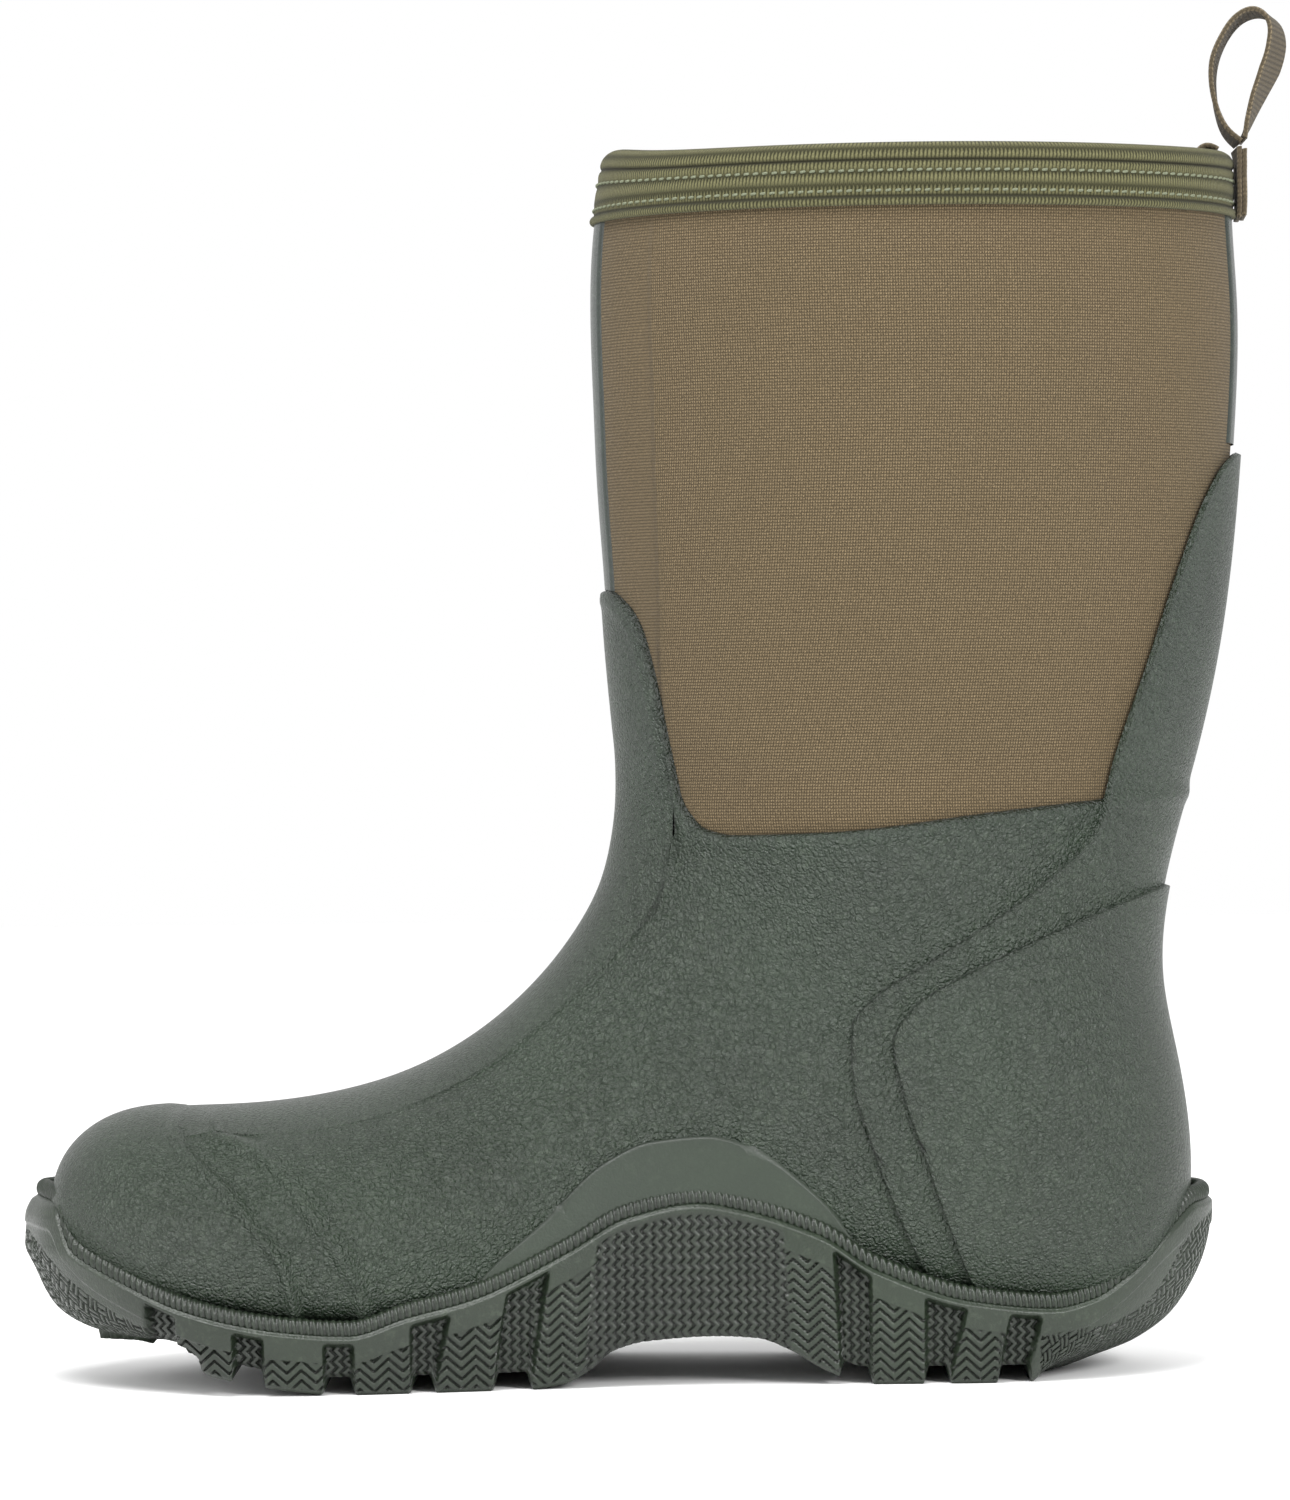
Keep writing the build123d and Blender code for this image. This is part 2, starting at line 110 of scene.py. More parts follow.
def naturalSpline(knots, values, at):
    # cubic spline with free ends through rows of values: the second derivatives come from one linear solve
    n = len(knots)
    h = np.diff(knots)
    system = np.eye(n)
    right = np.zeros_like(values)
    for i in range(1, n - 1):
        system[i, i - 1:i + 2] = h[i - 1], 2 * (h[i - 1] + h[i]), h[i]
        right[i] = 6 * ((values[i + 1] - values[i]) / h[i] - (values[i] - values[i - 1]) / h[i - 1])
    second = np.linalg.solve(system, right)
    i = np.clip(np.searchsorted(knots, at, side="right") - 1, 0, n - 2)
    w = h[i][..., None]
    a = (knots[i + 1] - at)[..., None]
    b = (at - knots[i])[..., None]
    curve = (second[i] * a ** 3 + second[i + 1] * b ** 3) / (6 * w)
    curve += (values[i] / w - second[i] * w / 6) * a + (values[i + 1] / w - second[i + 1] * w / 6) * b
    slope = (second[i + 1] * b ** 2 - second[i] * a ** 2) / (2 * w)
    slope += (values[i + 1] - values[i]) / w - w * (second[i + 1] - second[i]) / 6
    return curve, slope


stations = np.array(form["stations"])
middles = (stations[:, 0:2] + stations[:, 2:4]) / 2
knots = np.concatenate([[0], np.cumsum(np.hypot(*np.diff(middles, axis=0).T) * 0.5
                                       + np.hypot(*np.diff(stations[:, 2:4], axis=0).T) * 0.25
                                       + np.hypot(*np.diff(stations[:, 0:2], axis=0).T) * 0.25)])
lastKnot = knots[-1]


def skin(s, v, out):
    # point of the boot's skin: s runs from the toe (0) to the top edge (lastKnot), v once round from
    # the front line (0) by the inner side (0.25) to the sole or back line (0.5), out is mm proud of it.
    # Each section is a front and a back half superellipse between a front and a back point.
    s, v, out = np.broadcast_arrays(np.asarray(s, float), np.asarray(v, float), np.asarray(out, float))
    row, slope = naturalSpline(knots, stations, s)
    frontTurn = np.hypot(slope[..., 0], slope[..., 1])
    backTurn = np.hypot(slope[..., 2], slope[..., 3])
    frontX = row[..., 0] - out * slope[..., 1] / frontTurn
    frontZ = row[..., 1] + out * slope[..., 0] / frontTurn
    backX = row[..., 2] + out * slope[..., 3] / backTurn
    backZ = row[..., 3] - out * slope[..., 2] / backTurn
    c, k = np.cos(2 * np.pi * v), np.sin(2 * np.pi * v)
    power = np.where(c >= 0, row[..., 7], row[..., 8])
    share = np.where(c >= 0, row[..., 6], 1 - row[..., 6])
    t = row[..., 6] - share * np.sign(c) * np.abs(c) ** (2 / power)
    across = -np.sign(k) * np.abs(k) ** (2 / power)
    return np.stack([frontX + t * (backX - frontX), row[..., 5] + (row[..., 4] + out) * across,
                     frontZ + t * (backZ - frontZ)], axis=-1)


def lineZ(name, x):  # height of an outline that runs along x
    p = np.array(line[name], float)
    return hermite(p[:, 0], p[:, 1], x)


def lineX(name, z):  # x of an outline that runs down z
    p = np.array(line[name], float)[::-1]
    return hermite(p[:, 1], p[:, 0], z)


def hermite(xs, ys, x):
    # cubic through the points whose slopes are the mean of both sides, held flat where they change sign
    h, d = np.diff(xs), np.diff(ys) / np.maximum(np.diff(xs), 1e-6)
    total = d[:-1] + d[1:]
    inner = np.where(d[:-1] * d[1:] > 0, 2 * d[:-1] * d[1:] / np.where(total == 0, 1, total), 0)
    m = np.concatenate([[d[0]], inner, [d[-1]]])
    x = np.clip(x, xs[0], xs[-1])
    i = np.clip(np.searchsorted(xs, x, side="right") - 1, 0, len(xs) - 2)
    t = (x - xs[i]) / h[i]
    return ((1 + 2 * t) * (1 - t) ** 2 * ys[i] + t * (1 - t) ** 2 * h[i] * m[i]
            + t * t * (3 - 2 * t) * ys[i + 1] + t * t * (t - 1) * h[i] * m[i + 1])


def crossAlong(v, out, inside, startS, endS, steps=500):
    # first s from startS on, for each v, where inside(points) turns negative, by a dense walk and one
    # linear step
    s = np.linspace(startS, endS, steps)
    keep = inside(skin(s[:, None], v[None, :], out))
    hit = np.argmax(keep < 0, axis=0)
    hit = np.where(np.any(keep < 0, axis=0), np.maximum(hit, 1), steps - 1)
    a = np.take_along_axis(keep, hit[None, :] - 1, 0)[0]
    b = np.take_along_axis(keep, hit[None, :], 0)[0]
    f = np.clip(a / np.where(a - b == 0, 1, a - b), 0, 1)
    return s[hit - 1] + f * (s[1] - s[0])


def crossAround(s, out, inside, steps=500):
    # first v from the front line on, for each s, where inside(points) turns positive, up to 0.5
    v = np.linspace(0.0, 0.5, steps)
    keep = inside(skin(s[:, None], v[None, :], out))
    hit = np.argmax(keep > 0, axis=1)
    hit = np.where(np.any(keep > 0, axis=1), np.maximum(hit, 1), steps - 1)
    a = np.take_along_axis(keep, hit[:, None] - 1, 1)[:, 0]
    b = np.take_along_axis(keep, hit[:, None], 1)[:, 0]
    f = np.clip(a / np.where(a - b == 0, 1, a - b), 0, 1)
    return np.where(np.any(keep > 0, axis=1), v[hit - 1] + f * (v[1] - v[0]), 0.5)


def gridFaces(rows, columns, closeRows=False, closeColumns=False, start=0):
    i = np.arange(rows if closeRows else rows - 1)
    j = np.arange(columns if closeColumns else columns - 1)
    i, j = np.meshgrid(i, j, indexing="ij")
    i2, j2 = (i + 1) % rows, (j + 1) % columns
    quads = np.stack([i * columns + j, i * columns + j2, i2 * columns + j2, i2 * columns + j], axis=-1)
    return quads.reshape(-1, 4) + start


def addPiece(name, grids, material, body, nodes, masks=None, uv=None, flip=False):
    # grids: list of (points rows x columns x 3 in mm, closeRows, closeColumns); masks: name to list of arrays
    verts, faces, start = [], [], 0
    for points, closeRows, closeColumns in grids:
        rows, columns = points.shape[:2]
        verts.append(points.reshape(-1, 3))
        faces.append(gridFaces(rows, columns, closeRows, closeColumns, start))
        start += rows * columns
    verts = np.concatenate(verts) * mm
    faces = np.concatenate(faces)
    if flip:
        faces = faces[:, ::-1]
    mesh = bpy.data.meshes.new(name)
    mesh.vertices.add(len(verts))
    mesh.vertices.foreach_set("co", verts.astype(np.float32).ravel())
    mesh.loops.add(faces.size)
    mesh.loops.foreach_set("vertex_index", faces.astype(np.int32).ravel())
    mesh.polygons.add(len(faces))
    mesh.polygons.foreach_set("loop_start", np.arange(0, faces.size, 4, dtype=np.int32))
    mesh.update(calc_edges=True)
    for maskName, arrays in (masks or {}).items():
        attribute = mesh.attributes.new(maskName, "FLOAT", "POINT")
        attribute.data.foreach_set("value", np.concatenate([a.ravel() for a in arrays]).astype(np.float32))
    if uv is not None:
        flat = np.concatenate([a.reshape(-1, 2) for a in uv]).astype(np.float32)
        layer = mesh.uv_layers.new(name="UVMap")
        layer.data.foreach_set("uv", flat[faces.ravel()].ravel())
    mesh.validate()
    mesh.shade_smooth()
    piece = bpy.data.objects.new(name, mesh)
    bpy.context.scene.collection.objects.link(piece)
    mesh.materials.append(material)
    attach(piece, body)
    if nodes:
        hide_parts(*nodes)
    print("made", name, len(faces), "faces")
    return piece


def nodeGroup(name, inputs, outputs):
    group = bpy.data.node_groups.new(name, "ShaderNodeTree")
    for label, kind, value in inputs:
        socket = group.interface.new_socket(label, in_out="INPUT", socket_type="NodeSocket" + kind)
        if value is not None:
            socket.default_value = value
    for label, kind in outputs:
        group.interface.new_socket(label, in_out="OUTPUT", socket_type="NodeSocket" + kind)
    return group, group.nodes.new("NodeGroupInput"), group.nodes.new("NodeGroupOutput")


def feed(tree, socket, value):
    # links the socket to another node's output, or sets it
    if isinstance(value, bpy.types.NodeSocket):
        tree.links.new(value, socket)
    else:
        socket.default_value = value


def put(tree, kind, settings=None, **inputs):
    # adds a node; settings are its properties, inputs its sockets by name or number, linked or set
    node = tree.nodes.new("ShaderNode" + kind)
    for key, value in (settings or {}).items():
        setattr(node, key, value)
    for key, value in inputs.items():
        numbered = key[0] == "n" and key[1:].isdigit()
        feed(tree, node.inputs[int(key[1:]) if numbered else key.replace("_", " ")], value)
    return node


def sums(tree, operation, a, b=0.0, c=0.0):
    return put(tree, "Math", {"operation": operation}, n0=a, n1=b, n2=c).outputs[0]


def mix(tree, factor, a, b, blend="MIX"):
    node = put(tree, "Mix", {"data_type": "RGBA", "blend_type": blend}, n0=factor)
    feed(tree, node.inputs[6], a)
    feed(tree, node.inputs[7], b)
    return node.outputs[2]


def leatherGrain():
    # pebbled skin: worn cells with fine wrinkles between them
    group, into, out = nodeGroup("leatherGrain", [("Vector", "Vector", None), ("Scale", "Float", 900.0),
                                                  ("Stretch", "Float", 0.7)],
                                 [("Height", "Float"), ("Crease", "Float"), ("Cloud", "Float")])
    vector = into.outputs["Vector"]
    bend = put(group, "TexNoise", None, Vector=vector, Scale=260.0, Detail=2.0)
    offset = put(group, "VectorMath", {"operation": "SCALE"}, n0=bend.outputs["Color"], Scale=0.0016)
    moved = put(group, "VectorMath", {"operation": "ADD"}, n0=vector, n1=offset.outputs[0])
    cells = put(group, "TexVoronoi", {"feature": "SMOOTH_F1"}, Vector=moved.outputs[0],
                Scale=into.outputs["Scale"], Smoothness=0.35)
    half = sums(group, "MULTIPLY", into.outputs["Scale"], 0.45)
    big = put(group, "TexVoronoi", {"feature": "DISTANCE_TO_EDGE"}, Vector=moved.outputs[0], Scale=half)
    wrinkle = put(group, "TexNoise", None, Vector=moved.outputs[0], Scale=into.outputs["Scale"], Detail=5.0,
                  Roughness=0.65)
    crease = sums(group, "SUBTRACT", 1.0, sums(group, "MULTIPLY", big.outputs["Distance"], 5.0))
    creaseTop = sums(group, "MAXIMUM", crease, 0.0)
    dome = sums(group, "SUBTRACT", 1.0, cells.outputs["Distance"])
    height = sums(group, "MULTIPLY_ADD", wrinkle.outputs["Fac"], 0.9, dome)
    height = sums(group, "SUBTRACT", height, sums(group, "MULTIPLY", creaseTop, 0.5))
    cloud = put(group, "TexNoise", None, Vector=vector, Scale=22.0, Detail=4.0, Roughness=0.6)
    group.links.new(height, out.inputs["Height"])
    group.links.new(creaseTop, out.inputs["Crease"])
    group.links.new(cloud.outputs["Fac"], out.inputs["Cloud"])
    return group


def clothWeave():
    # yarn loops in rows: two crossed waves, pushed about by noise, on a UV map in mm
    group, into, out = nodeGroup("clothWeave", [("Vector", "Vector", None), ("Pitch", "Float", 0.7),
                                                ("Rows", "Float", 0.9), ("Fuzz", "Float", 0.3)],
                                 [("Height", "Float"), ("Yarn", "Float"), ("Fleck", "Float")])
    split = put(group, "SeparateXYZ", None, Vector=into.outputs["Vector"])
    wander = put(group, "TexNoise", None, Vector=into.outputs["Vector"], Scale=1.3, Detail=3.0)
    drift = sums(group, "MULTIPLY", sums(group, "SUBTRACT", wander.outputs["Fac"], 0.5), 0.5)
    u = sums(group, "DIVIDE", sums(group, "ADD", split.outputs["X"], drift), into.outputs["Pitch"])
    w = sums(group, "DIVIDE", sums(group, "ADD", split.outputs["Y"], drift), into.outputs["Rows"])
    waveU = sums(group, "ABSOLUTE", sums(group, "SINE", sums(group, "MULTIPLY", u, math.pi)))
    lean = sums(group, "MULTIPLY_ADD", waveU, 0.35, w)
    waveW = sums(group, "ABSOLUTE", sums(group, "SINE", sums(group, "MULTIPLY", lean, math.pi)))
    yarn = sums(group, "MULTIPLY", waveU, waveW)
    fuzz = put(group, "TexNoise", None, Vector=into.outputs["Vector"], Scale=5.5, Detail=4.0, Roughness=0.8)
    fuzzy = sums(group, "MULTIPLY", fuzz.outputs["Fac"], into.outputs["Fuzz"])
    fleck = put(group, "TexNoise", None, Vector=into.outputs["Vector"], Scale=2.2, Detail=2.0, Roughness=0.9)
    group.links.new(sums(group, "ADD", yarn, fuzzy), out.inputs["Height"])
    group.links.new(yarn, out.inputs["Yarn"])
    group.links.new(fleck.outputs["Fac"], out.inputs["Fleck"])
    return group


def dustAndRimShade():
    # pale dust specks from two noises, and painted shade that follows the rim mask
    group, into, out = nodeGroup("dustAndRimShade", [("Vector", "Vector", None), ("Rim", "Float", 0.0),
                                              ("Amount", "Float", 0.5)],
                                 [("Dust", "Float"), ("Shade", "Float")])
    speck = put(group, "TexNoise", None, Vector=into.outputs["Vector"], Scale=420.0, Detail=6.0,
                Roughness=0.75)
    patch = put(group, "TexNoise", None, Vector=into.outputs["Vector"], Scale=60.0, Detail=3.0)
    strong = sums(group, "MULTIPLY", sums(group, "SUBTRACT", speck.outputs["Fac"], 0.52), 6.0)
    strong = sums(group, "MINIMUM", sums(group, "MAXIMUM", strong, 0.0), 1.0)
    spotty = sums(group, "MULTIPLY", strong, patch.outputs["Fac"])
    dust = sums(group, "MULTIPLY", spotty, into.outputs["Amount"])
    group.links.new(dust, out.inputs["Dust"])
    group.links.new(sums(group, "MULTIPLY", into.outputs["Rim"], 0.75), out.inputs["Shade"])
    return group


shared = {"grain": leatherGrain(), "weave": clothWeave(), "dustAndShade": dustAndRimShade()}


def linear(r, g, b):  # sRGB bytes to the linear colour a shader takes
    c = np.array([r, g, b]) / 255
    c = np.where(c <= 0.04045, c / 12.92, ((c + 0.055) / 1.055) ** 2.4)
    return (float(c[0]), float(c[1]), float(c[2]), 1.0)


def newMaterial(name):
    material = bpy.data.materials.new(name)
    material.use_nodes = True
    tree = material.node_tree
    return material, tree, tree.nodes["Principled BSDF"]


def useGroup(tree, group, **inputs):
    node = tree.nodes.new("ShaderNodeGroup")
    node.node_tree = group
    for key, value in inputs.items():
        feed(tree, node.inputs[key], value)
    return node


def rubberMaterial(name, look):
    # moulded rubber: grain height, darker creases as painted shade, pale dust specks, a dark rim where a patch
    # ends and dark slits, both painted shade
    material, tree, surface = newMaterial(name)
    place = put(tree, "TexCoord").outputs["Object"]
    grain = useGroup(tree, shared["grain"], Vector=place, Scale=look["grainScale"])
    rim = put(tree, "Attribute", {"attribute_name": "rim"}).outputs["Fac"]
    carve = put(tree, "Attribute", {"attribute_name": "carve"}).outputs["Fac"]
    dustAndShade = useGroup(tree, shared["dustAndShade"], Vector=place, Rim=rim, Amount=look["dust"])
    cloudy = put(tree, "MapRange", None, Value=grain.outputs["Cloud"], n1=0.3, n2=0.7, n3=0.0, n4=1.0)
    colour = mix(tree, cloudy.outputs[0], look["dark"], look["light"])
    # painted shade: the grain's creases are mixed toward the deep colour
    colour = mix(tree, sums(tree, "MULTIPLY", grain.outputs["Crease"], look["crease"]), colour, look["deep"])
    colour = mix(tree, dustAndShade.outputs["Dust"], colour, look["dusty"])
    # painted shade: the rim mask darkens the colour toward the deep colour
    colour = mix(tree, dustAndShade.outputs["Shade"], colour, look["deep"])
    # painted shade: the carve mask darkens carved slits, sipes and weave
    colour = mix(tree, sums(tree, "MULTIPLY", carve, 0.85), colour, look["deep"])
    tree.links.new(colour, surface.inputs["Base Color"])
    rough = sums(tree, "MULTIPLY_ADD", grain.outputs["Height"], -look["roughVary"], look["rough"])
    tree.links.new(sums(tree, "MULTIPLY_ADD", dustAndShade.outputs["Dust"], 0.2, rough), surface.inputs["Roughness"])
    surface.inputs["Specular IOR Level"].default_value = look["specular"]
    bump = put(tree, "Bump", None, Strength=look["bump"], Distance=look["bumpDepth"],
               Height=grain.outputs["Height"])
    tree.links.new(bump.outputs["Normal"], surface.inputs["Normal"])
    return material


def clothMaterial(name, look):
    # knitted or woven cloth on a UV map in mm: yarn relief, flecked colour, soft sheen
    material, tree, surface = newMaterial(name)
    place = put(tree, "UVMap").outputs["UV"]
    weave = useGroup(tree, shared["weave"], Vector=place, Pitch=look["pitch"], Rows=look["rows"],
                     Fuzz=look["fuzz"])
    rim = put(tree, "Attribute", {"attribute_name": "rim"}).outputs["Fac"]
    colour = mix(tree, weave.outputs["Yarn"], look["dark"], look["light"])
    fleck = put(tree, "MapRange", None, Value=weave.outputs["Fleck"], n1=0.42, n2=0.62, n3=0.0,
                n4=look["fleckAmount"])
    colour = mix(tree, fleck.outputs[0], colour, look["fleck"])
    wide = put(tree, "TexNoise", None, Vector=place, Scale=0.035, Detail=3.0)
    colour = mix(tree, sums(tree, "MULTIPLY", wide.outputs["Fac"], look["patchy"]), colour, look["dark"])
    # painted shade from the rim mask: on the panels above the galosh edge and in the binding's creases; it also
    # darkens the pull loop's flat middle
    colour = mix(tree, sums(tree, "MULTIPLY", rim, 0.8), colour, look["deep"])
    tree.links.new(colour, surface.inputs["Base Color"])
    surface.inputs["Roughness"].default_value = look["rough"]
    surface.inputs["Specular IOR Level"].default_value = 0.12
    surface.inputs["Sheen Weight"].default_value = look["sheen"]
    surface.inputs["Sheen Roughness"].default_value = 0.5
    bump = put(tree, "Bump", None, Strength=look["bump"], Distance=0.00015, Height=weave.outputs["Height"])
    tree.links.new(bump.outputs["Normal"], surface.inputs["Normal"])
    return material


rubberLook = {
    "dark": (23, 34, 22), "light": (32, 45, 31), "deep": (9, 13, 8), "dusty": (98, 110, 92),
    "grainScale": 1350.0, "crease": 0.2, "dust": 0.25, "rough": 0.44, "roughVary": 0.12, "specular": 0.5,
    "bump": 1.0, "bumpDepth": 0.0005,
}
clothLook = {
    "dark": (54, 46, 32), "light": (126, 110, 84), "fleck": (46, 39, 27), "deep": (26, 24, 18),
    "fleckAmount": 0.6, "patchy": 0.15, "pitch": 0.7, "rows": 0.8, "fuzz": 1.0, "rough": 0.85, "sheen": 0.06,
    "bump": 0.8,
}


def coloured(base, **changes):
    # the base look with its changes, and its colours, given as display values 0 to 255, made linear
    look = {**base, **changes}
    return {key: linear(*value) if isinstance(value, tuple) else value for key, value in look.items()}


galoshRubber = rubberMaterial("galoshRubber", coloured(rubberLook))
patchRubber = rubberMaterial("patchRubber", coloured(
    rubberLook, dark=(28, 38, 27), light=(34, 45, 32), grainScale=1500.0, crease=0.05, dust=0.1, bump=0.12,
    rough=0.55))
soleRubber = rubberMaterial("soleRubber", coloured(
    rubberLook, dark=(19, 28, 17), light=(29, 40, 26), deep=(10, 12, 9), grainScale=1700.0, crease=0.05,
    bump=0.16, rough=0.46))
jersey = clothMaterial("jersey", coloured(clothLook))
ribKnit = clothMaterial("ribKnit", coloured(
    clothLook, dark=(30, 30, 16), light=(106, 104, 74), fleck=(60, 58, 39), deep=(14, 12, 7), pitch=0.85,
    rows=4.0, fleckAmount=0.4))
liningCloth = clothMaterial("liningCloth", coloured(
    clothLook, dark=(72, 66, 58), light=(96, 88, 77), fleck=(60, 55, 48), pitch=1.2, rows=1.2, fuzz=1.2))
footbedCloth = clothMaterial("footbedCloth", coloured(
    clothLook, dark=(52, 52, 48), light=(74, 74, 68), fleck=(40, 40, 38), pitch=1.0, rows=1.0))
webbingCloth = clothMaterial("webbingCloth", coloured(
    clothLook, dark=(56, 50, 38), light=(136, 122, 98), fleck=(70, 62, 50), pitch=0.9, rows=1.3))
threadCloth = clothMaterial("threadCloth", coloured(
    clothLook, dark=(110, 116, 92), light=(168, 173, 148), fleck=(80, 84, 66), pitch=0.3, rows=0.3))
tapeRubber = rubberMaterial("tapeRubber", coloured(
    rubberLook, dark=(28, 35, 30), light=(38, 47, 41), grainScale=1800.0, bump=0.1, rough=0.4))
foam = rubberMaterial("foam", coloured(
    rubberLook, dark=(44, 46, 44), light=(60, 62, 60), rough=0.9, grainScale=1400.0, bump=0.7))
hiddenNeoprene = rubberMaterial("hiddenNeoprene", coloured(rubberLook, dark=(40, 38, 34), rough=0.9))
fibreBoard = rubberMaterial("fibreBoard", coloured(
    rubberLook, dark=(120, 104, 82), light=(146, 128, 102), deep=(84, 72, 56), rough=0.85,
    grainScale=700.0))

upper = {"columns": 400, "rows": 215, "edgeRoll": 0.9, "ribHeight": 1.7, "ribWidth": 2.0}
nearEdge = np.array([0, 0.06, 0.2, 0.42, 0.7, 1.05, 1.5, 2.1, 2.8])  # mm behind an edge, for its roll


def rolledEdge(depth, roll, low, high):
    # how far out a rubber edge is at a depth in mm behind it: a quarter round from low to high
    t = np.clip(depth / roll, 0, 1)
    return low + (high - low) * np.sqrt(1 - (1 - t) ** 2)


def sideDistance(points, name, along):
    # signed mm in front of a side outline (along z) or below it (along x), measured square to it
    x, z = points[..., 0], points[..., 2]
    if along == "z":
        away = lineX(name, z) - x
        slope = (lineX(name, z + 1) - lineX(name, z - 1)) / 2
    else:
        away = lineZ(name, x) - z
        slope = (lineZ(name, x + 1) - lineZ(name, x - 1)) / 2
    return away / np.sqrt(1 + slope ** 2)


def closeTip(points, masks, push):  # adds a last row drawn to one point
    tip = points[-1].mean(axis=0) + np.array(push)
    points = np.concatenate([points, np.broadcast_to(tip, (1,) + points[-1].shape)])
    return points, [np.concatenate([m, m[-1:]]) for m in masks]


def makeGalosh():
    # s runs from the edge down to the toe for each v; the edge rolls in, and a soft rib crosses the toe
    v = np.linspace(0, 1, upper["columns"], endpoint=False)
    base = form["galoshOut"]
    edge = crossAlong(v, base, lambda p: lineZ("galoshTop", p[..., 0]) - p[..., 2], knots[11], lastKnot)
    share = np.linspace(0, 1, upper["rows"])[1:]
    s = np.concatenate([edge[None, :] - nearEdge[:, None],
                        (edge[None, :] - nearEdge[-1]) * (1 - share[:, None] * 0.99999)])
    points = skin(s, v[None, :], base)
    behind = np.where(points[..., 2] > 125, sideDistance(points, "galoshTop", "x"), 99)
    out = rolledEdge(np.maximum(behind, 0), upper["edgeRoll"], 0.3, base)
    lip = 0.35 * np.exp(-((behind - 2.6) / 1.4) ** 2)
    ribAway = sideDistance(points, "toeCapBack", "z")
    onSide = smooth(0.015, 0.1, np.minimum(v, 1 - v))[None, :]
    rib = upper["ribHeight"] * np.exp(-(ribAway / upper["ribWidth"]) ** 2) * onSide
    points = skin(s, v[None, :], out + lip + np.where(points[..., 0] < -40, rib, 0))
    # painted shade: rim darkens the rubber along the galosh's top edge
    rim = np.exp(-np.maximum(behind, 0) / 0.7)
    points[0] = skin(edge, v, 0.1)
    points, (rim,) = closeTip(points, [rim], (-1, 0, 0))
    return addPiece("galoshShell", [(points, False, True)], galoshRubber, "boot", ["galosh"],
                    {"rim": [rim]}, flip=True)


def makeToeCap():
    # a second skin over the toe, its back edge a soft rib
    v = np.linspace(0, 1, 360, endpoint=False)
    low, high = form["galoshOut"], form["galoshOut"] + form["toeCap"]
    edge = crossAlong(v, low, lambda p: lineX("toeRibFront", p[..., 2]) - p[..., 0], 0.0, knots[8])
    share = np.linspace(0, 1, 150)[1:]
    s = np.concatenate([edge[None, :] - nearEdge[:, None],
                        (edge[None, :] - nearEdge[-1]) * (1 - share[:, None] * 0.99999)])
    points = skin(s, v[None, :], high)
    behind = np.maximum(sideDistance(points, "toeRibFront", "z"), 0)
    out = low - 0.12 + (high - low) * smooth(0, 7, behind)
    onSide = smooth(0.015, 0.1, np.minimum(v, 1 - v))[None, :]
    out = out + 1.7 * smooth(0, 2.6, behind) * np.exp(-((behind - 3.2) / 1.8) ** 2) * onSide
    points = skin(s, v[None, :], out)
    points[0] = skin(edge, v, low - 0.5)
    points, _ = closeTip(points, [], (-1, 0, 0))
    return addPiece("toeCap", [(points, False, True)], galoshRubber, "boot", ["toe_cap"],
                    {"rim": [np.zeros(points.shape[:2])]}, flip=True)


def endsOf(outline, out, low, high):
    # the s at which a patch starts and ends on the back line
    s = np.linspace(low, high, 3000)
    p = skin(s, 0.5, out)
    inside = p[:, 0] - lineX(outline, p[:, 2]) > 0
    kept = s[inside]
    return kept[0], kept[-1]


def makeBackPatch(name, nodeName, outline, low, high, material, size, rise=None):
    # a patch behind a side outline, from its edge on the inner side round the back to the outer side
    first, last = endsOf(outline, low, knots[9], lastKnot)
    t = np.linspace(0, 1, size[0])
    s = first + (last - first) * (t + 0.035 * np.sin(2 * np.pi * t) - 0.08 * np.sin(2 * np.pi * t) * t)
    front = crossAround(s, low, lambda p: p[..., 0] - lineX(outline, p[..., 2]))
    spread = np.concatenate([[0, 0.0006, 0.002, 0.0045, 0.008, 0.0125, 0.018, 0.025],
                             np.linspace(0.034, 1, size[1])]) * 0.5
    share = np.concatenate([spread, 1 - spread[::-1][1:]])
    v = front[:, None] + (1 - 2 * front[:, None]) * share[None, :]
    points = skin(s[:, None], v, high)
    behind = np.maximum(-sideDistance(points, outline, "z"), 0)
    top = high + (rise(points) if rise else 0)
    out = rolledEdge(behind, 1.0, low - 0.15, top)
    out[:, [0, -1]] = low - 0.6
    out[[0, -1], :] = low - 0.6
    # painted shade: rim darkens the rubber along the patch's front edge
    rim = np.exp(-behind / 0.7)
    return addPiece(name, [(skin(s[:, None], v, out), False, False)], material, "boot", [nodeName],
                    {"rim": [rim]})


def achillesRise(p):  # lies lower above the galosh's edge, with a soft ridge along it and one up the back
    over = p[..., 2] - lineZ("galoshTop", p[..., 0])
    ridge = 0.45 * np.exp(-((over + 1) / 2.0) ** 2) - 0.5 * smooth(-1, 4, over)
    side = np.abs(p[..., 1]) - 24
    return ridge + 0.35 * smooth(-3, 3, side) * smooth(150, 165, p[..., 2]) * smooth(244, 225, p[..., 2])


def counterRise(p):  # the heel cup swells, with a soft upright fold in front of it
    x, z = p[..., 0], p[..., 2]
    fold = -0.9 * np.exp(-(((x - 92) + (z - 78) * 0.25) / 4.5) ** 2) * smooth(48, 70, z) * smooth(106, 88, z)
    return 1.3 * np.exp(-((x - 104) / 24) ** 2 - ((z - 76) / 24) ** 2) + fold


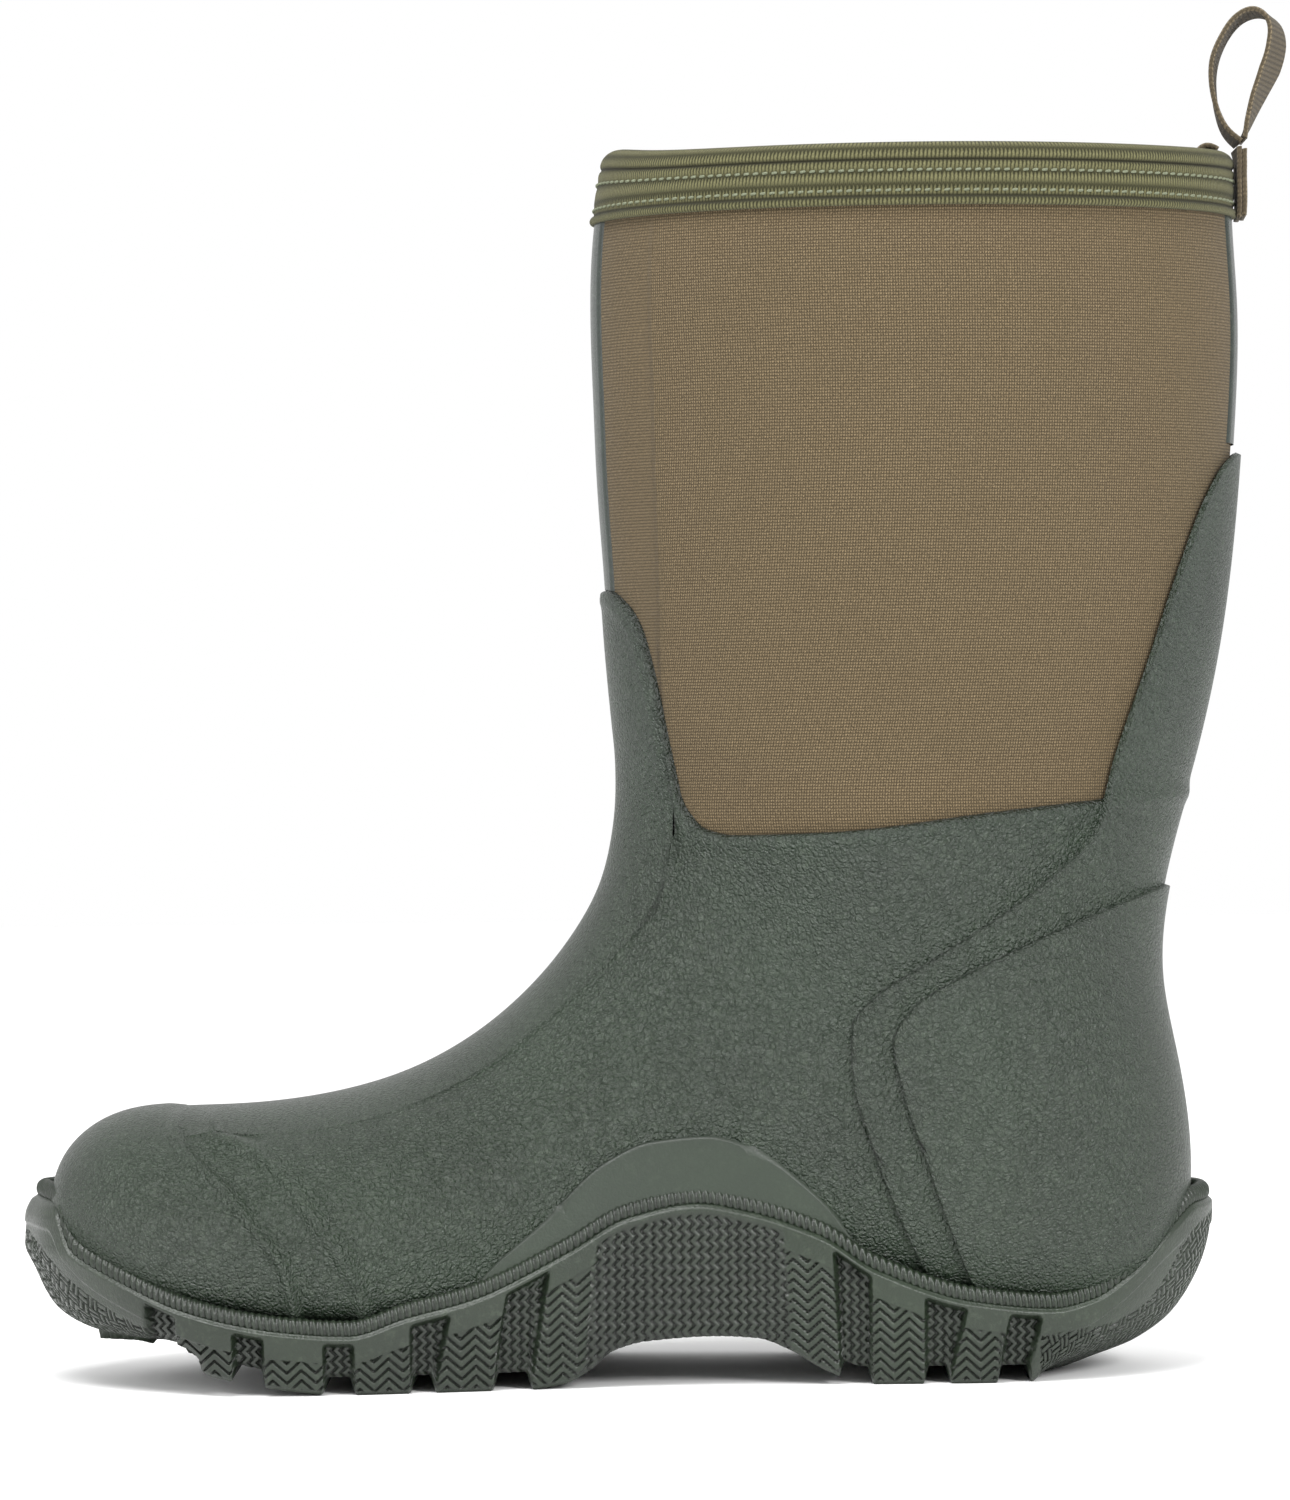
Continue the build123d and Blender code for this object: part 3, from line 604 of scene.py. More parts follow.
def makeArchPatch(name, nodeName, outer):
    s = np.linspace(knots[7], knots[12], 260)
    low, high = form["galoshOut"], form["galoshOut"] + form["arch"]
    edge = crossAround(s, low, lambda p: lineZ("archTop", p[..., 0]) - p[..., 2])
    share = np.concatenate([[0, 0.002, 0.006, 0.013, 0.022, 0.034, 0.05], np.linspace(0.07, 1, 70)])
    v = edge[:, None] + (0.5 - edge[:, None]) * share[None, :]
    points = skin(s[:, None], v, high)
    behind = np.maximum(sideDistance(points, "archTop", "x"), 0)
    out = rolledEdge(behind, 1.0, low - 0.15, high) - 0.7 * smooth(0, 26, behind)
    out[:, 0] = low - 0.5
    points = skin(s[:, None], 1 - v if outer else v, out)
    # painted shade: rim darkens the rubber along the patch's top edge
    return addPiece(name, [(points, False, False)], patchRubber, "boot", [nodeName],
                    {"rim": [np.exp(-behind / 0.7)]}, flip=outer)


# Plan outline as x, inner y, outer y in mm; wall grooves as front and back x at the bottom and how
# far each of them shifts by the top of the wall; channels as front x, back x and middle y
sole = {
    "plan": [(-166.5, -16, -2), (-161, -30, 11), (-150, -42.5, 25.5), (-136, -51.5, 38.0), (-116, -56.7, 49.0),
             (-92, -57.5, 56.0), (-68, -54.7, 58.7), (-44, -50.1, 56.9), (-18, -45.3, 53.5), (10, -42.7, 50.3),
             (40, -43.1, 48.1), (72, -43.9, 46.7), (102, -41.9, 44.1), (124, -35.0, 37.0), (138, -22.0, 24.0)],
    "toe": (-168.1, -9.0), "heel": (145.8, 1.0),
    "lean": [(0.0, -4.5), (6.0, -2.6), (16.0, -0.8), (34.0, 0.0), (54.0, -1.5)],
    "toeProfile": [(0.0, 40.0), (8.0, 37.0), (11.2, 31.0), (14.9, 14.6), (20.8, 7.1), (30.0, 2.8), (36.6, 0.2),
                   (43.8, 0.2), (52.2, 3.7)],
    "heelProfile": [(0.0, 36.0), (3.0, 29.3), (7.9, 18.2), (14.6, 10.4), (22.4, 5.5), (30.4, 2.3), (38.3, 0.6),
                    (44.4, 0.0), (49.7, 4.0)],
    "grooves": [(-132.6, -125.2, 0, 0), (-109.8, -102.4, 0, 0), (-86.5, -79.4, 0, 0), (-64.3, -58.9, 0, 4.6),
                (-43.3, -34.3, 3.9, 5.3), (-20.8, 32.8, 4.6, -2.3), (45.7, 53.1, -1.8, 0), (67.5, 73.2, 0, 5.1),
                (86.5, 94.0, 3.4, 3.6)],
    "channels": [(-102, -40, -17), (-102, -40, 21), (56, 73, 2), (90, 106, 2)], "treadEnds": (-137, 128),
    "grooveDeep": 3.2, "archDeep": 0.5, "slit": 1.0, "lug": 4.5,
    "columns": 2080, "rows": 104, "bottomRows": 44,
    "toeWeave": [(-170, 42), (-162.2, 36.7), (-154.7, 29.2), (-148.4, 24.6), (-137.3, 18.5), (-130, 16)],
    "heelWeave": [(90, 10.5), (102.4, 12.5), (114.3, 13.7), (124.1, 17.7), (132.2, 27.2), (136.2, 35.1),
                  (150, 44)],
}


def table(points, x):
    p = np.array(points, float)
    return hermite(p[:, 0], p[:, 1], x)


def closedOutline(count):
    # periodic cubic through the plan points, sampled evenly along its length from the toe by the inner side
    inner = [(x, a) for x, a, b in sole["plan"]]
    outer = [(x, b) for x, a, b in sole["plan"]][::-1]
    ring = np.array([sole["toe"]] + inner + [sole["heel"]] + outer, float)
    ring = np.concatenate([ring[-4:], ring, ring[:5]])
    at = np.concatenate([[0], np.cumsum(np.hypot(*np.diff(ring, axis=0).T))])
    dense, _ = naturalSpline(at, ring, np.linspace(at[4], at[-5], 20001))
    walk = np.concatenate([[0], np.cumsum(np.hypot(*np.diff(dense, axis=0).T))])
    even = np.linspace(0, walk[-1], count, endpoint=False)
    xy = np.stack([np.interp(even, walk, dense[:, 0]), np.interp(even, walk, dense[:, 1])], axis=-1)
    along = np.roll(xy, -1, axis=0) - np.roll(xy, 1, axis=0)
    along /= np.hypot(along[:, 0], along[:, 1])[:, None]
    normal = np.stack([along[:, 1], -along[:, 0]], axis=-1)
    if np.sum(xy * normal) < 0:
        normal = -normal
    return xy, normal, even


def wallPoint(xy, normal, z, inset=0.0):
    # plan point at a height: leaned by height, with the toe and heel drawn back to their round profiles
    x, y = xy[:, 0], xy[:, 1]
    grow = table(sole["lean"], z) - inset
    toward = smooth(-112, -163, x) * table(sole["toeProfile"], z)
    back = smooth(88, 142, x) * table(sole["heelProfile"], z)
    squeeze = 1 - 0.006 * (toward + back)
    return x + normal[:, 0] * grow + toward - back, y * squeeze + normal[:, 1] * grow


def grooveMask(x, share, soft):
    # 1 inside a groove, 0 on a lug, with soft sides; share is the height up the wall
    mask = np.zeros_like(x)
    for x0, x1, shift0, shift1 in sole["grooves"]:
        a, b = x0 + shift0 * share, x1 + shift1 * share
        mask = np.maximum(mask, smooth(-soft, soft, x - a) * smooth(-soft, soft, b - x))
    return mask


def triangle(x):
    return np.abs((x % 1) * 2 - 1) * 2 - 1


def slit(x, width):  # 1 in the middle of a slit once per unit of x, width its share of the pitch
    return smooth(width, width * 0.45, np.abs(((x + 0.5) % 1) - 0.5) * 2)


def treadPattern(x, walk, z, down):
    # herringbone slits on the lugs, upright zigzag ribs in the grooves, basket weave at toe and heel
    herring = slit((z + 1.7 * triangle(x / 7.4)) / 2.6, 0.36)
    zigzag = slit((x + 0.75 * triangle(z / 2.9)) / 2.4, 0.44)
    a, b = (walk + down) / 5.4, (walk - down) / 5.4
    odd = (np.floor(a) + np.floor(b)) % 2
    weave = np.where(odd > 0.5, slit(a * 2, 0.4), slit(b * 2, 0.4))
    return herring, zigzag, weave


def makeSoleWall():
    xy, normal, walk = closedOutline(sole["columns"])
    top = lineZ("wallTop", xy[:, 0])
    low = np.maximum(lineZ("tread", np.clip(xy[:, 0], *sole["treadEnds"])), 0)
    for _ in range(12):
        x = wallPoint(xy, normal, low)[0]
        low = 0.5 * low + 0.5 * lineZ("tread", np.clip(x, *sole["treadEnds"]))
    cut = grooveMask(wallPoint(xy, normal, low)[0], np.zeros_like(low), 0.9)
    cut = cut * np.where((xy[:, 0] > -22) & (xy[:, 0] < 34), 0, 1)
    low = low + sole["lug"] * cut
    rows = []
    down = np.zeros_like(low)
    last = None
    for h in np.linspace(0, 1, sole["rows"]):
        z = low + h * (top - low)
        x, y = wallPoint(xy, normal, z)
        spot = np.stack([x, y, z])
        down = down + (0 if last is None else np.linalg.norm(spot - last, axis=0))
        last = spot
        groove = grooveMask(x, (z - low) / (top - low), 0.8) * smooth(1.4, 3.2, top - z)
        herring, zigzag, weave = treadPattern(x, walk, z, down)
        toeOn = smooth(1.0, -0.4, z - table(sole["toeWeave"], x)) * (x < -131)
        heelOn = smooth(1.0, -0.4, z - table(sole["heelWeave"], x)) * (x > 97)
        lugOn = smooth(6.6, 7.6, top - z) * (1 - groove) * (x > -128) * (x < 92) * smooth(0.6, 1.4, z - low)
        grooveOn = groove * smooth(2.4, 3.4, top - z)
        ends = np.maximum(toeOn, heelOn)
        carve = np.maximum(np.maximum(lugOn * herring, grooveOn * zigzag * 0.9), ends * weave)
        band = 0.4 * smooth(6.7, 7.5, top - z) * (1 - groove)  # the smooth band stands a little proud
        arch = smooth(-28, -20, x) * smooth(42, 34, x)
        deep = sole["grooveDeep"] + (sole["archDeep"] - sole["grooveDeep"]) * arch
        inset = groove * deep + carve * sole["slit"] + band
        inset = inset + 1.1 * smooth(1.6, 0, z - low) ** 2 + 0.9 * smooth(1.5, 0, top - z) ** 2
        rows.append((*wallPoint(xy, normal, z, inset), z, carve, groove))
    points = np.array([(r[0], r[1], r[2]) for r in rows]).transpose(0, 2, 1)
    # the carve mask also darkens the slits and weave in the material, and shade darkens the grooves: both
    # painted shade
    carve = np.array([r[3] for r in rows])
    shade = np.array([r[4] for r in rows]) * 0.45
    flange = []
    for inset, rise in ((2.0, 0.25), (5.0, 0.3), (9.0, 0.2)):
        x, y = wallPoint(xy, normal, top, inset)
        flange.append(np.stack([x, y, top + rise], axis=-1))
    points = np.concatenate([points, np.array(flange)])
    carve = np.concatenate([carve, np.zeros((3, len(top)))])
    shade = np.concatenate([shade, np.zeros((3, len(top)))])
    quarter = sole["columns"] // 4
    for i, part in enumerate(("ToeInner", "HeelInner", "HeelOuter", "ToeOuter")):
        pick = np.arange(i * quarter, (i + 1) * quarter + 1) % sole["columns"]
        addPiece("soleWall" + part, [(points[:, pick], False, False)], soleRubber, "boot", ["outsole"],
                 {"carve": [carve[:, pick]], "rim": [shade[:, pick]]})
    return points[0]


def makeSoleBottom(edge):
    # from the wall's lowest row to the middle line: lugs, grooves, channels and slits
    centre = np.stack([np.clip(edge[:, 0], -120, 112), np.interp(edge[:, 0], [-137, -80, 120], [-7, 1, 1]),
                       edge[:, 2]], axis=-1)
    share = np.linspace(0, 1, sole["bottomRows"])[:, None]
    x = edge[None, :, 0] * (1 - share) + centre[None, :, 0] * share
    y = edge[None, :, 1] * (1 - share) + centre[None, :, 1] * share
    arch = smooth(-24, -18, x) * smooth(36, 30, x)
    groove = grooveMask(x, np.zeros_like(x), 0.9) * (1 - arch)
    for x0, x1, middle in sole["channels"]:
        channel = smooth(-1, 1, x - x0) * smooth(-1, 1, x1 - x) * smooth(-0.8, 0.8, 3 - np.abs(y - middle))
        groove = np.maximum(groove, channel)
    sipe = slit((y + 1.7 * triangle(x / 7.4)) / 3.4, 0.34) * (1 - groove) * smooth(0.02, 0.06, share)
    z = np.maximum(lineZ("tread", np.clip(x, *sole["treadEnds"])), 0) + sole["lug"] * groove + 0.8 * sipe
    z = z * (1 - (share < 1e-6)) + edge[None, :, 2] * (share < 1e-6)
    points = np.stack([x, y, z], axis=-1)
    half = len(edge) // 2
    # painted shade: carve darkens the sipes, and rim darkens the grooves and channels
    for name, start in (("soleTreadInner", 0), ("soleTreadOuter", half)):
        pick = np.arange(start, start + half + 1) % len(edge)
        addPiece(name, [(points[:, pick], False, False)], soleRubber, "boot", ["outsole"],
                 {"carve": [sipe[:, pick]], "rim": [groove[:, pick] * 0.4]}, flip=True)


def makeRand():
    # knurled bead: a half round section just over the wall's top edge, ridged across at a steady pitch
    xy, normal, walk = closedOutline(2400)
    x, y = wallPoint(xy, normal, lineZ("wallTop", xy[:, 0]), rand["inset"])
    path = np.stack([x, y, lineZ("wallTop", xy[:, 0]) + rand["rise"]], axis=-1)
    for _ in range(8):
        path = (np.roll(path, 1, axis=0) + path * 2 + np.roll(path, -1, axis=0)) / 4
    turn = np.linspace(-1.9, 2.6, 19)
    out = np.concatenate([normal, np.zeros((len(normal), 1))], axis=1)
    rows = []
    for a in turn:
        ridge = rand["ridge"] * np.sin(2 * np.pi * walk / rand["pitch"] + a * 0.9)
        rows.append(path + out * (math.cos(a) * (rand["wide"] + ridge))[:, None]
                    + np.array([0, 0, 1.0]) * (math.sin(a) * (rand["high"] + 0.5 * ridge))[:, None])
    points = np.array(rows)
    wave = np.array([np.sin(2 * np.pi * walk / rand["pitch"] + a * 0.9) for a in turn])
    # painted shade: rim darkens the troughs between the ridges, and fully at the section's two ends where the
    # bead meets the wall
    mask = (0.5 - 0.5 * wave) * 0.75
    mask[[0, -1]] = 1
    addPiece("randBead", [(points, False, True)], soleRubber, "boot", ["rand"],
             {"rim": [mask]})


rand = {"inset": 2.9, "rise": 1.5, "wide": 2.1, "high": 2.5, "ridge": 0.3, "pitch": 1.75}


shaft = {
    "rows": 150, "columns": 150, "thick": 5.0, "tapeHalf": 0.037, "bandColumns": 760,
    # binding's section from inside the top over the rim and down the outer face: out and z
    "binding": [(-6.8, 302.6), (-8.1, 303.2), (-8.1, 310.0), (-8.0, 316.0), (-7.6, 318.0), (-6.6, 319.8),
                (-5.0, 320.8), (-3.0, 321.1), (-1.2, 320.8), (0.3, 319.9), (1.2, 318.6), (1.5, 317.2),
                (1.35, 316.5), (0.75, 316.1), (0.7, 315.8), (1.35, 315.5), (1.5, 315.0), (1.5, 314.2),
                (1.35, 313.6), (1.2, 312.5), (1.35, 311.4), (1.5, 310.6), (1.5, 308.0), (1.35, 307.4),
                (1.2, 306.4), (1.3, 305.7), (1.1, 305.2), (0.9, 305.0), (1.6, 304.8), (2.1, 304.2), (2.2, 303.6),
                (2.0, 303.0), (1.3, 302.6), (0.3, 302.7)],
    "creases": [315.95, 305.05], "stitches": {"upper": 312.5, "lower": 306.4}, "stitchPitch": 2.5,
}


def levelS(z):  # s of the flat section at a height above the heel's stations
    s = np.linspace(knots[21], lastKnot + 3, 800)
    return np.interp(z, skin(s, 0.25, 0)[:, 2], s)


def makePanel(name, nodeName, v0, v1):
    v = np.concatenate([np.linspace(v0, v1, shaft["columns"]), np.linspace(v1, v0, shaft["columns"])])
    edge = crossAlong(v, 1.0, lambda p: lineZ("galoshTop", p[..., 0]) - p[..., 2], knots[11], lastKnot)
    out = np.concatenate([np.zeros(shaft["columns"]), np.full(shaft["columns"], -shaft["thick"])])
    low = edge - 11
    top = levelS(318.4)
    s = low[None, :] + (top - low[None, :]) * np.linspace(0, 1, shaft["rows"])[:, None]
    out = np.repeat(out[None, :], shaft["rows"], axis=0)
    out[[0, -1]] = -shaft["thick"] / 2
    edges = [0, shaft["columns"] - 1, shaft["columns"], 2 * shaft["columns"] - 1]
    out[:, edges] = out[:, edges] * 0.94 - 0.2
    points = skin(s, v[None, :], out)
    middle = shaft["columns"] // 2
    steps = np.linalg.norm(np.diff(points[:, :shaft["columns"]], axis=1), axis=2)
    arc = np.concatenate([np.zeros((shaft["rows"], 1)), np.cumsum(steps, axis=1)], axis=1)
    arc = arc - arc[:, middle:middle + 1]
    uv = np.stack([np.concatenate([arc, arc[:, ::-1]], axis=1), points[..., 2]], axis=-1)
    # painted shade: rim darkens the neoprene just above the galosh's edge
    near = np.maximum(0, crossDistance(points))
    return addPiece(name, [(points, False, True)], jersey, "boot", [nodeName],
                    {"rim": [0.35 * np.exp(-near / 0.9)]}, [uv])


def crossDistance(points):  # mm above the galosh's edge
    return -sideDistance(points, "galoshTop", "x")


def makeLining():
    # two skins joined at the top, closed at the toe: down the outside, up the inside
    v = np.linspace(0, 1, 160, endpoint=False)
    s = np.concatenate([np.linspace(0.5, levelS(317.5), 110), np.linspace(levelS(317.5), 0.5, 110)])
    out = np.concatenate([np.full(110, -5.3), np.full(110, -6.85)])
    points = skin(s[:, None], v[None, :], out[:, None])
    points[0] = points[0].mean(axis=0)
    points[-1] = points[-1].mean(axis=0)
    step = np.linalg.norm(np.diff(points[109:110], axis=1), axis=2).mean()
    u = np.repeat((np.arange(160) * step)[None, :], 220, axis=0)
    down = np.repeat(s[:, None], 160, axis=1)
    return addPiece("liningSleeve", [(points, False, True)], liningCloth, "boot", ["lining"],
                    {"rim": [np.zeros_like(u)]}, [np.stack([u, down], axis=-1)])


def topWave(v):  # the rim stands higher at the front and a little at the back
    around = np.minimum(v, 1 - v)
    return -1.9 + 3.2 * np.exp(-(around / 0.075) ** 2) + 1.0 * np.exp(-((0.5 - around) / 0.08) ** 2)


def makeBinding():
    v = np.linspace(0, 1, shaft["bandColumns"], endpoint=False)
    raw = np.array(shaft["binding"])
    at = np.concatenate([[0], np.cumsum(np.hypot(*np.diff(raw, axis=0).T))])
    fine = np.linspace(0, at[-1], 90)
    profile = np.stack([np.interp(fine, at, raw[:, 0]), np.interp(fine, at, raw[:, 1])], axis=-1)
    profile[1:-1] = (profile[:-2] + 2 * profile[1:-1] + profile[2:]) / 4
    rise = topWave(v)[None, :] * smooth(306, 319, profile[:, 1:2])
    z = profile[:, 1:2] + rise
    points = skin(levelS(z), v[None, :], profile[:, :1])
    points[..., 2] = z
    step = np.linalg.norm(np.diff(points[60], axis=0), axis=1).mean()
    u = np.repeat((np.arange(len(v)) * step)[None, :], 90, axis=0)
    uv = np.stack([u, np.repeat(fine[:, None], len(v), axis=1)], axis=-1)
    # painted shade: the band is darkened in its two creases on the outer face
    dark = sum(np.exp(-((profile[:, 1] - c) / 0.4) ** 2) for c in shaft["creases"]) * (profile[:, 0] > 0)
    return addPiece("bindingBand", [(points, False, True)], ribKnit, "boot", ["topline_binding"],
                    {"rim": [np.repeat(dark[:, None], len(v), axis=1)]}, [uv], flip=True)


def makeStitches(name, nodeName, height):
    # short rounded stitches end to end round the band, each diving in at both ends
    ring = skin(levelS(height), np.linspace(0, 1, 4001), 1.3)
    walk = np.concatenate([[0], np.cumsum(np.linalg.norm(np.diff(ring, axis=0), axis=1))])
    count = int(walk[-1] / shaft["stitchPitch"])
    grids, rims, uvs = [], [], []
    t = np.linspace(-1, 1, 9)
    turn = np.linspace(0, 2 * np.pi, 8, endpoint=False)
    for k in range(count):
        middle = (k + 0.5) * walk[-1] / count
        v = np.interp(middle + t * 0.82, walk, np.linspace(0, 1, 4001))
        rise = topWave(v) * smooth(306, 319, height)
        r = 0.36 * np.sqrt(np.clip(1 - t ** 4, 0.02, 1))
        lift = 1.42 - 0.35 * t ** 4
        out = lift[:, None] + r[:, None] * np.cos(turn)[None, :]
        z = height + rise[:, None] + r[:, None] * np.sin(turn)[None, :] + 0.1 * t[:, None]
        points = skin(levelS(height), v[:, None], out)
        points[..., 2] = z
        grids.append((points, False, True))
        rims.append(np.zeros((9, 8)))
        uvs.append(np.stack([np.repeat(turn[None, :], 9, axis=0), np.repeat(t[:, None], 8, axis=1)], axis=-1))
    return addPiece(name, grids, threadCloth, "boot", [nodeName], {"rim": rims}, uvs, flip=True)


def makeTape(name, nodeName, middle, zLow, zHigh, out=0.75):
    # thin rubber strip over a seam, thinner at its long edges
    across = np.linspace(-1, 1, 41)
    z = np.linspace(zLow, zHigh, 120)
    v = (middle + across * shaft["tapeHalf"]) % 1
    dense = np.linspace(knots[16], lastKnot, 900)
    s = np.interp(z, skin(dense, middle, 0)[:, 2], dense)
    s = np.where(z > 256, levelS(np.maximum(z, 256)), np.minimum(s, levelS(256.0)))
    proud = out - 0.65 * np.abs(across) ** 8
    proud = proud + 0.12 * np.exp(-((np.abs(across) - 0.86) / 0.05) ** 2)
    points = skin(s[:, None], v[None, :], proud[None, :])
    points[:, [0, -1]] = skin(s[:, None], v[None, [0, -1]], -0.2)
    # painted shade: rim darkens the tape along its two long edges
    rim = np.repeat((0.6 * np.exp(-((1 - np.abs(across)) / 0.06) ** 2))[None, :], 120, axis=0)
    return addPiece(name, [(points, False, False)], tapeRubber, "boot", [nodeName], {"rim": [rim]})


loop = {
    "path": [(155.4, 322.4), (152.2, 325.4), (149.8, 330.5), (148.6, 337.0), (148.9, 344.0), (151.7, 350.8),
             (156.2, 356.0), (160.8, 357.2), (164.6, 354.6), (165.5, 349.0), (163.6, 342.0), (160.4, 334.8),
             (157.6, 327.5), (156.0, 323.0)],
    "half": 9.0, "thick": 0.62, "bead": 0.85,
    # how far the webbing is turned about the upright, in degrees, along the path
    "twist": [0, 3, 6, 8, 9, 8, 9, 12, 16, 20, 21, 15, 7, 0],
}


def ribbon(path, twist, half, thick, bead):
    # webbing along a path in the XZ plane: flat with a round bead along both long edges
    at = np.concatenate([[0], np.cumsum(np.hypot(*np.diff(path, axis=0).T))])
    fine = np.linspace(0, at[-1], 220)
    curve, slope = naturalSpline(at, path, fine)
    angle = np.radians(np.interp(fine, at, twist))
    slope /= np.hypot(slope[:, 0], slope[:, 1])[:, None]
    out = np.stack([-slope[:, 1], np.zeros(len(fine)), slope[:, 0]], axis=-1)
    width = np.stack([np.sin(angle), np.cos(angle), np.zeros(len(fine))], axis=-1)
    face = out - np.sum(out * width, axis=1)[:, None] * width
    face /= np.linalg.norm(face, axis=1)[:, None]
    turn = np.linspace(0, 2 * np.pi, 48, endpoint=False)
    flat = np.sign(np.cos(turn)) * np.abs(np.cos(turn)) ** 0.35 * half
    round_ = thick + (bead - thick) * np.exp(-((np.abs(flat) - half + 0.9) / 0.8) ** 2)
    height = np.sign(np.sin(turn)) * np.abs(np.sin(turn)) ** 0.6 * round_
    centre = np.stack([curve[:, 0], np.zeros(len(fine)), curve[:, 1]], axis=-1)
    points = centre[:, None] + width[:, None] * flat[None, :, None] + face[:, None] * height[None, :, None]
    points[0] = points[0].mean(axis=0)
    points[-1] = points[-1].mean(axis=0)
    uv = np.stack([np.repeat(flat[None, :], len(fine), axis=0), np.repeat(fine[:, None], 48, axis=1)], axis=-1)
    pale = np.repeat((1 - np.exp(-((np.abs(flat) - half) / 1.1) ** 2))[None, :], len(fine), axis=0)
    return points, uv, pale


def makeLoop():
    points, uv, pale = ribbon(np.array(loop["path"]), loop["twist"], loop["half"], loop["thick"], loop["bead"])
    addPiece("pullLoop", [(points, False, True)], webbingCloth, "pull_loop", ["pull_loop"],
             {"rim": [pale * 0.55]}, [uv])
    feet = []
    for push, top, bottom in ((0.0, 321.2, 302.6), (1.35, 320.6, 303.0)):
        feet.append(([(154.7 + push, bottom), (154.9 + push, 306), (154.9 + push, 314), (154.8 + push, top - 2),
                      (154.6 + push, top)], [3, 3, 3, 2, 0]))
    nub = [(149.0, 320.4), (147.5, 321.2), (145.6, 321.4), (144.0, 320.4), (143.2, 317.8), (143.2, 313.0)]
    feet.append((nub, [0] * len(nub)))
    grids, uvs, rims = [], [], []
    for path, twist in feet:
        points, uv, pale = ribbon(np.array(path), twist, loop["half"], loop["thick"], loop["bead"])
        grids.append((points, False, True))
        uvs.append(uv)
        rims.append(pale * 0.55)
    addPiece("pullLoopFoot", grids, webbingCloth, "boot", ["pull_loop_foot"], {"rim": rims}, uvs)


bed = {
    "inset": 14.0,
    "boardTop": [(-160, 44.0), (-146, 36.0), (-130, 31.0), (-108, 27.0), (-85, 25.0), (-55, 25.0), (-10, 28.0),
                 (30, 29.8), (65, 29.2), (97, 27.8), (125, 28.5), (150, 32.0)],
}


def makeSlab(name, nodeName, low, high, material):
    # flat pad inside the foot: up its side, with a rounded edge, and over to the middle line
    xy, normal, _ = closedOutline(500)
    x0 = np.clip(xy[:, 0] - normal[:, 0] * bed["inset"], -139, 116)
    y0 = (xy[:, 1] - normal[:, 1] * bed["inset"]) * 0.96
    centre = np.stack([np.clip(x0, -115, 95), np.zeros_like(x0)], axis=-1)
    levels = [(1.0, low), (0.03, low), (0.005, low + 0.1), (0.0, (low + high) / 2), (0.005, high - 0.1),
              (0.02, high)]
    levels += [(t, high) for t in np.linspace(0.05, 1.0, 24)]
    rows = []
    for t, z in levels:
        x = x0 * (1 - t) + centre[:, 0] * t
        y = y0 * (1 - t) + centre[:, 1] * t
        dish = 0.5 * (1 - smooth(0, 0.4, np.full_like(x, t))) if z == high else 0
        rows.append(np.stack([x, y, table(bed["boardTop"], x) + z + dish], axis=-1))
    points = np.array(rows)
    uv = points[..., :2].copy()
    return addPiece(name, [(points, False, True)], material, "footbed", [nodeName],
                    {"rim": [np.zeros(points.shape[:2])]}, [uv])


def dressHidden():  # the parts closed in on all sides keep their own shapes
    hidden = {"midsole": foam, "insole_board": fibreBoard, "neoprene_foot": hiddenNeoprene}
    for node, material in hidden.items():
        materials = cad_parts[node].data.materials
        materials.clear()
        materials.append(material)


def makeStage():
    scene = bpy.context.scene
    world = bpy.data.worlds.new("studio")
    scene.world = world
    world.use_nodes = True
    world.node_tree.nodes["Background"].inputs["Color"].default_value = (1, 1, 1, 1)
    world.node_tree.nodes["Background"].inputs["Strength"].default_value = studio["sky"]
    for name, (place, target, size, power) in studio["lights"].items():
        light = bpy.data.lights.new(name, "AREA")
        light.shape = "RECTANGLE"
        light.size, light.size_y = size
        light.energy = power
        lamp = bpy.data.objects.new(name, light)
        scene.collection.objects.link(lamp)
        lamp.location = place
        lamp.rotation_euler = (Vector(target) - Vector(place)).to_track_quat("-Z", "Y").to_euler()
    mesh = bpy.data.meshes.new("floor")
    half = 4.0
    corners = [(-half, -half, 0), (half, -half, 0), (half, half, 0), (-half, half, 0)]
    mesh.from_pydata(corners, [], [(0, 1, 2, 3)])
    floor = bpy.data.objects.new("floor", mesh)
    scene.collection.objects.link(floor)
    material, _, surface = newMaterial("paper")
    surface.inputs["Base Color"].default_value = (0.97, 0.97, 0.97, 1)
    surface.inputs["Roughness"].default_value = 0.9
    mesh.materials.append(material)


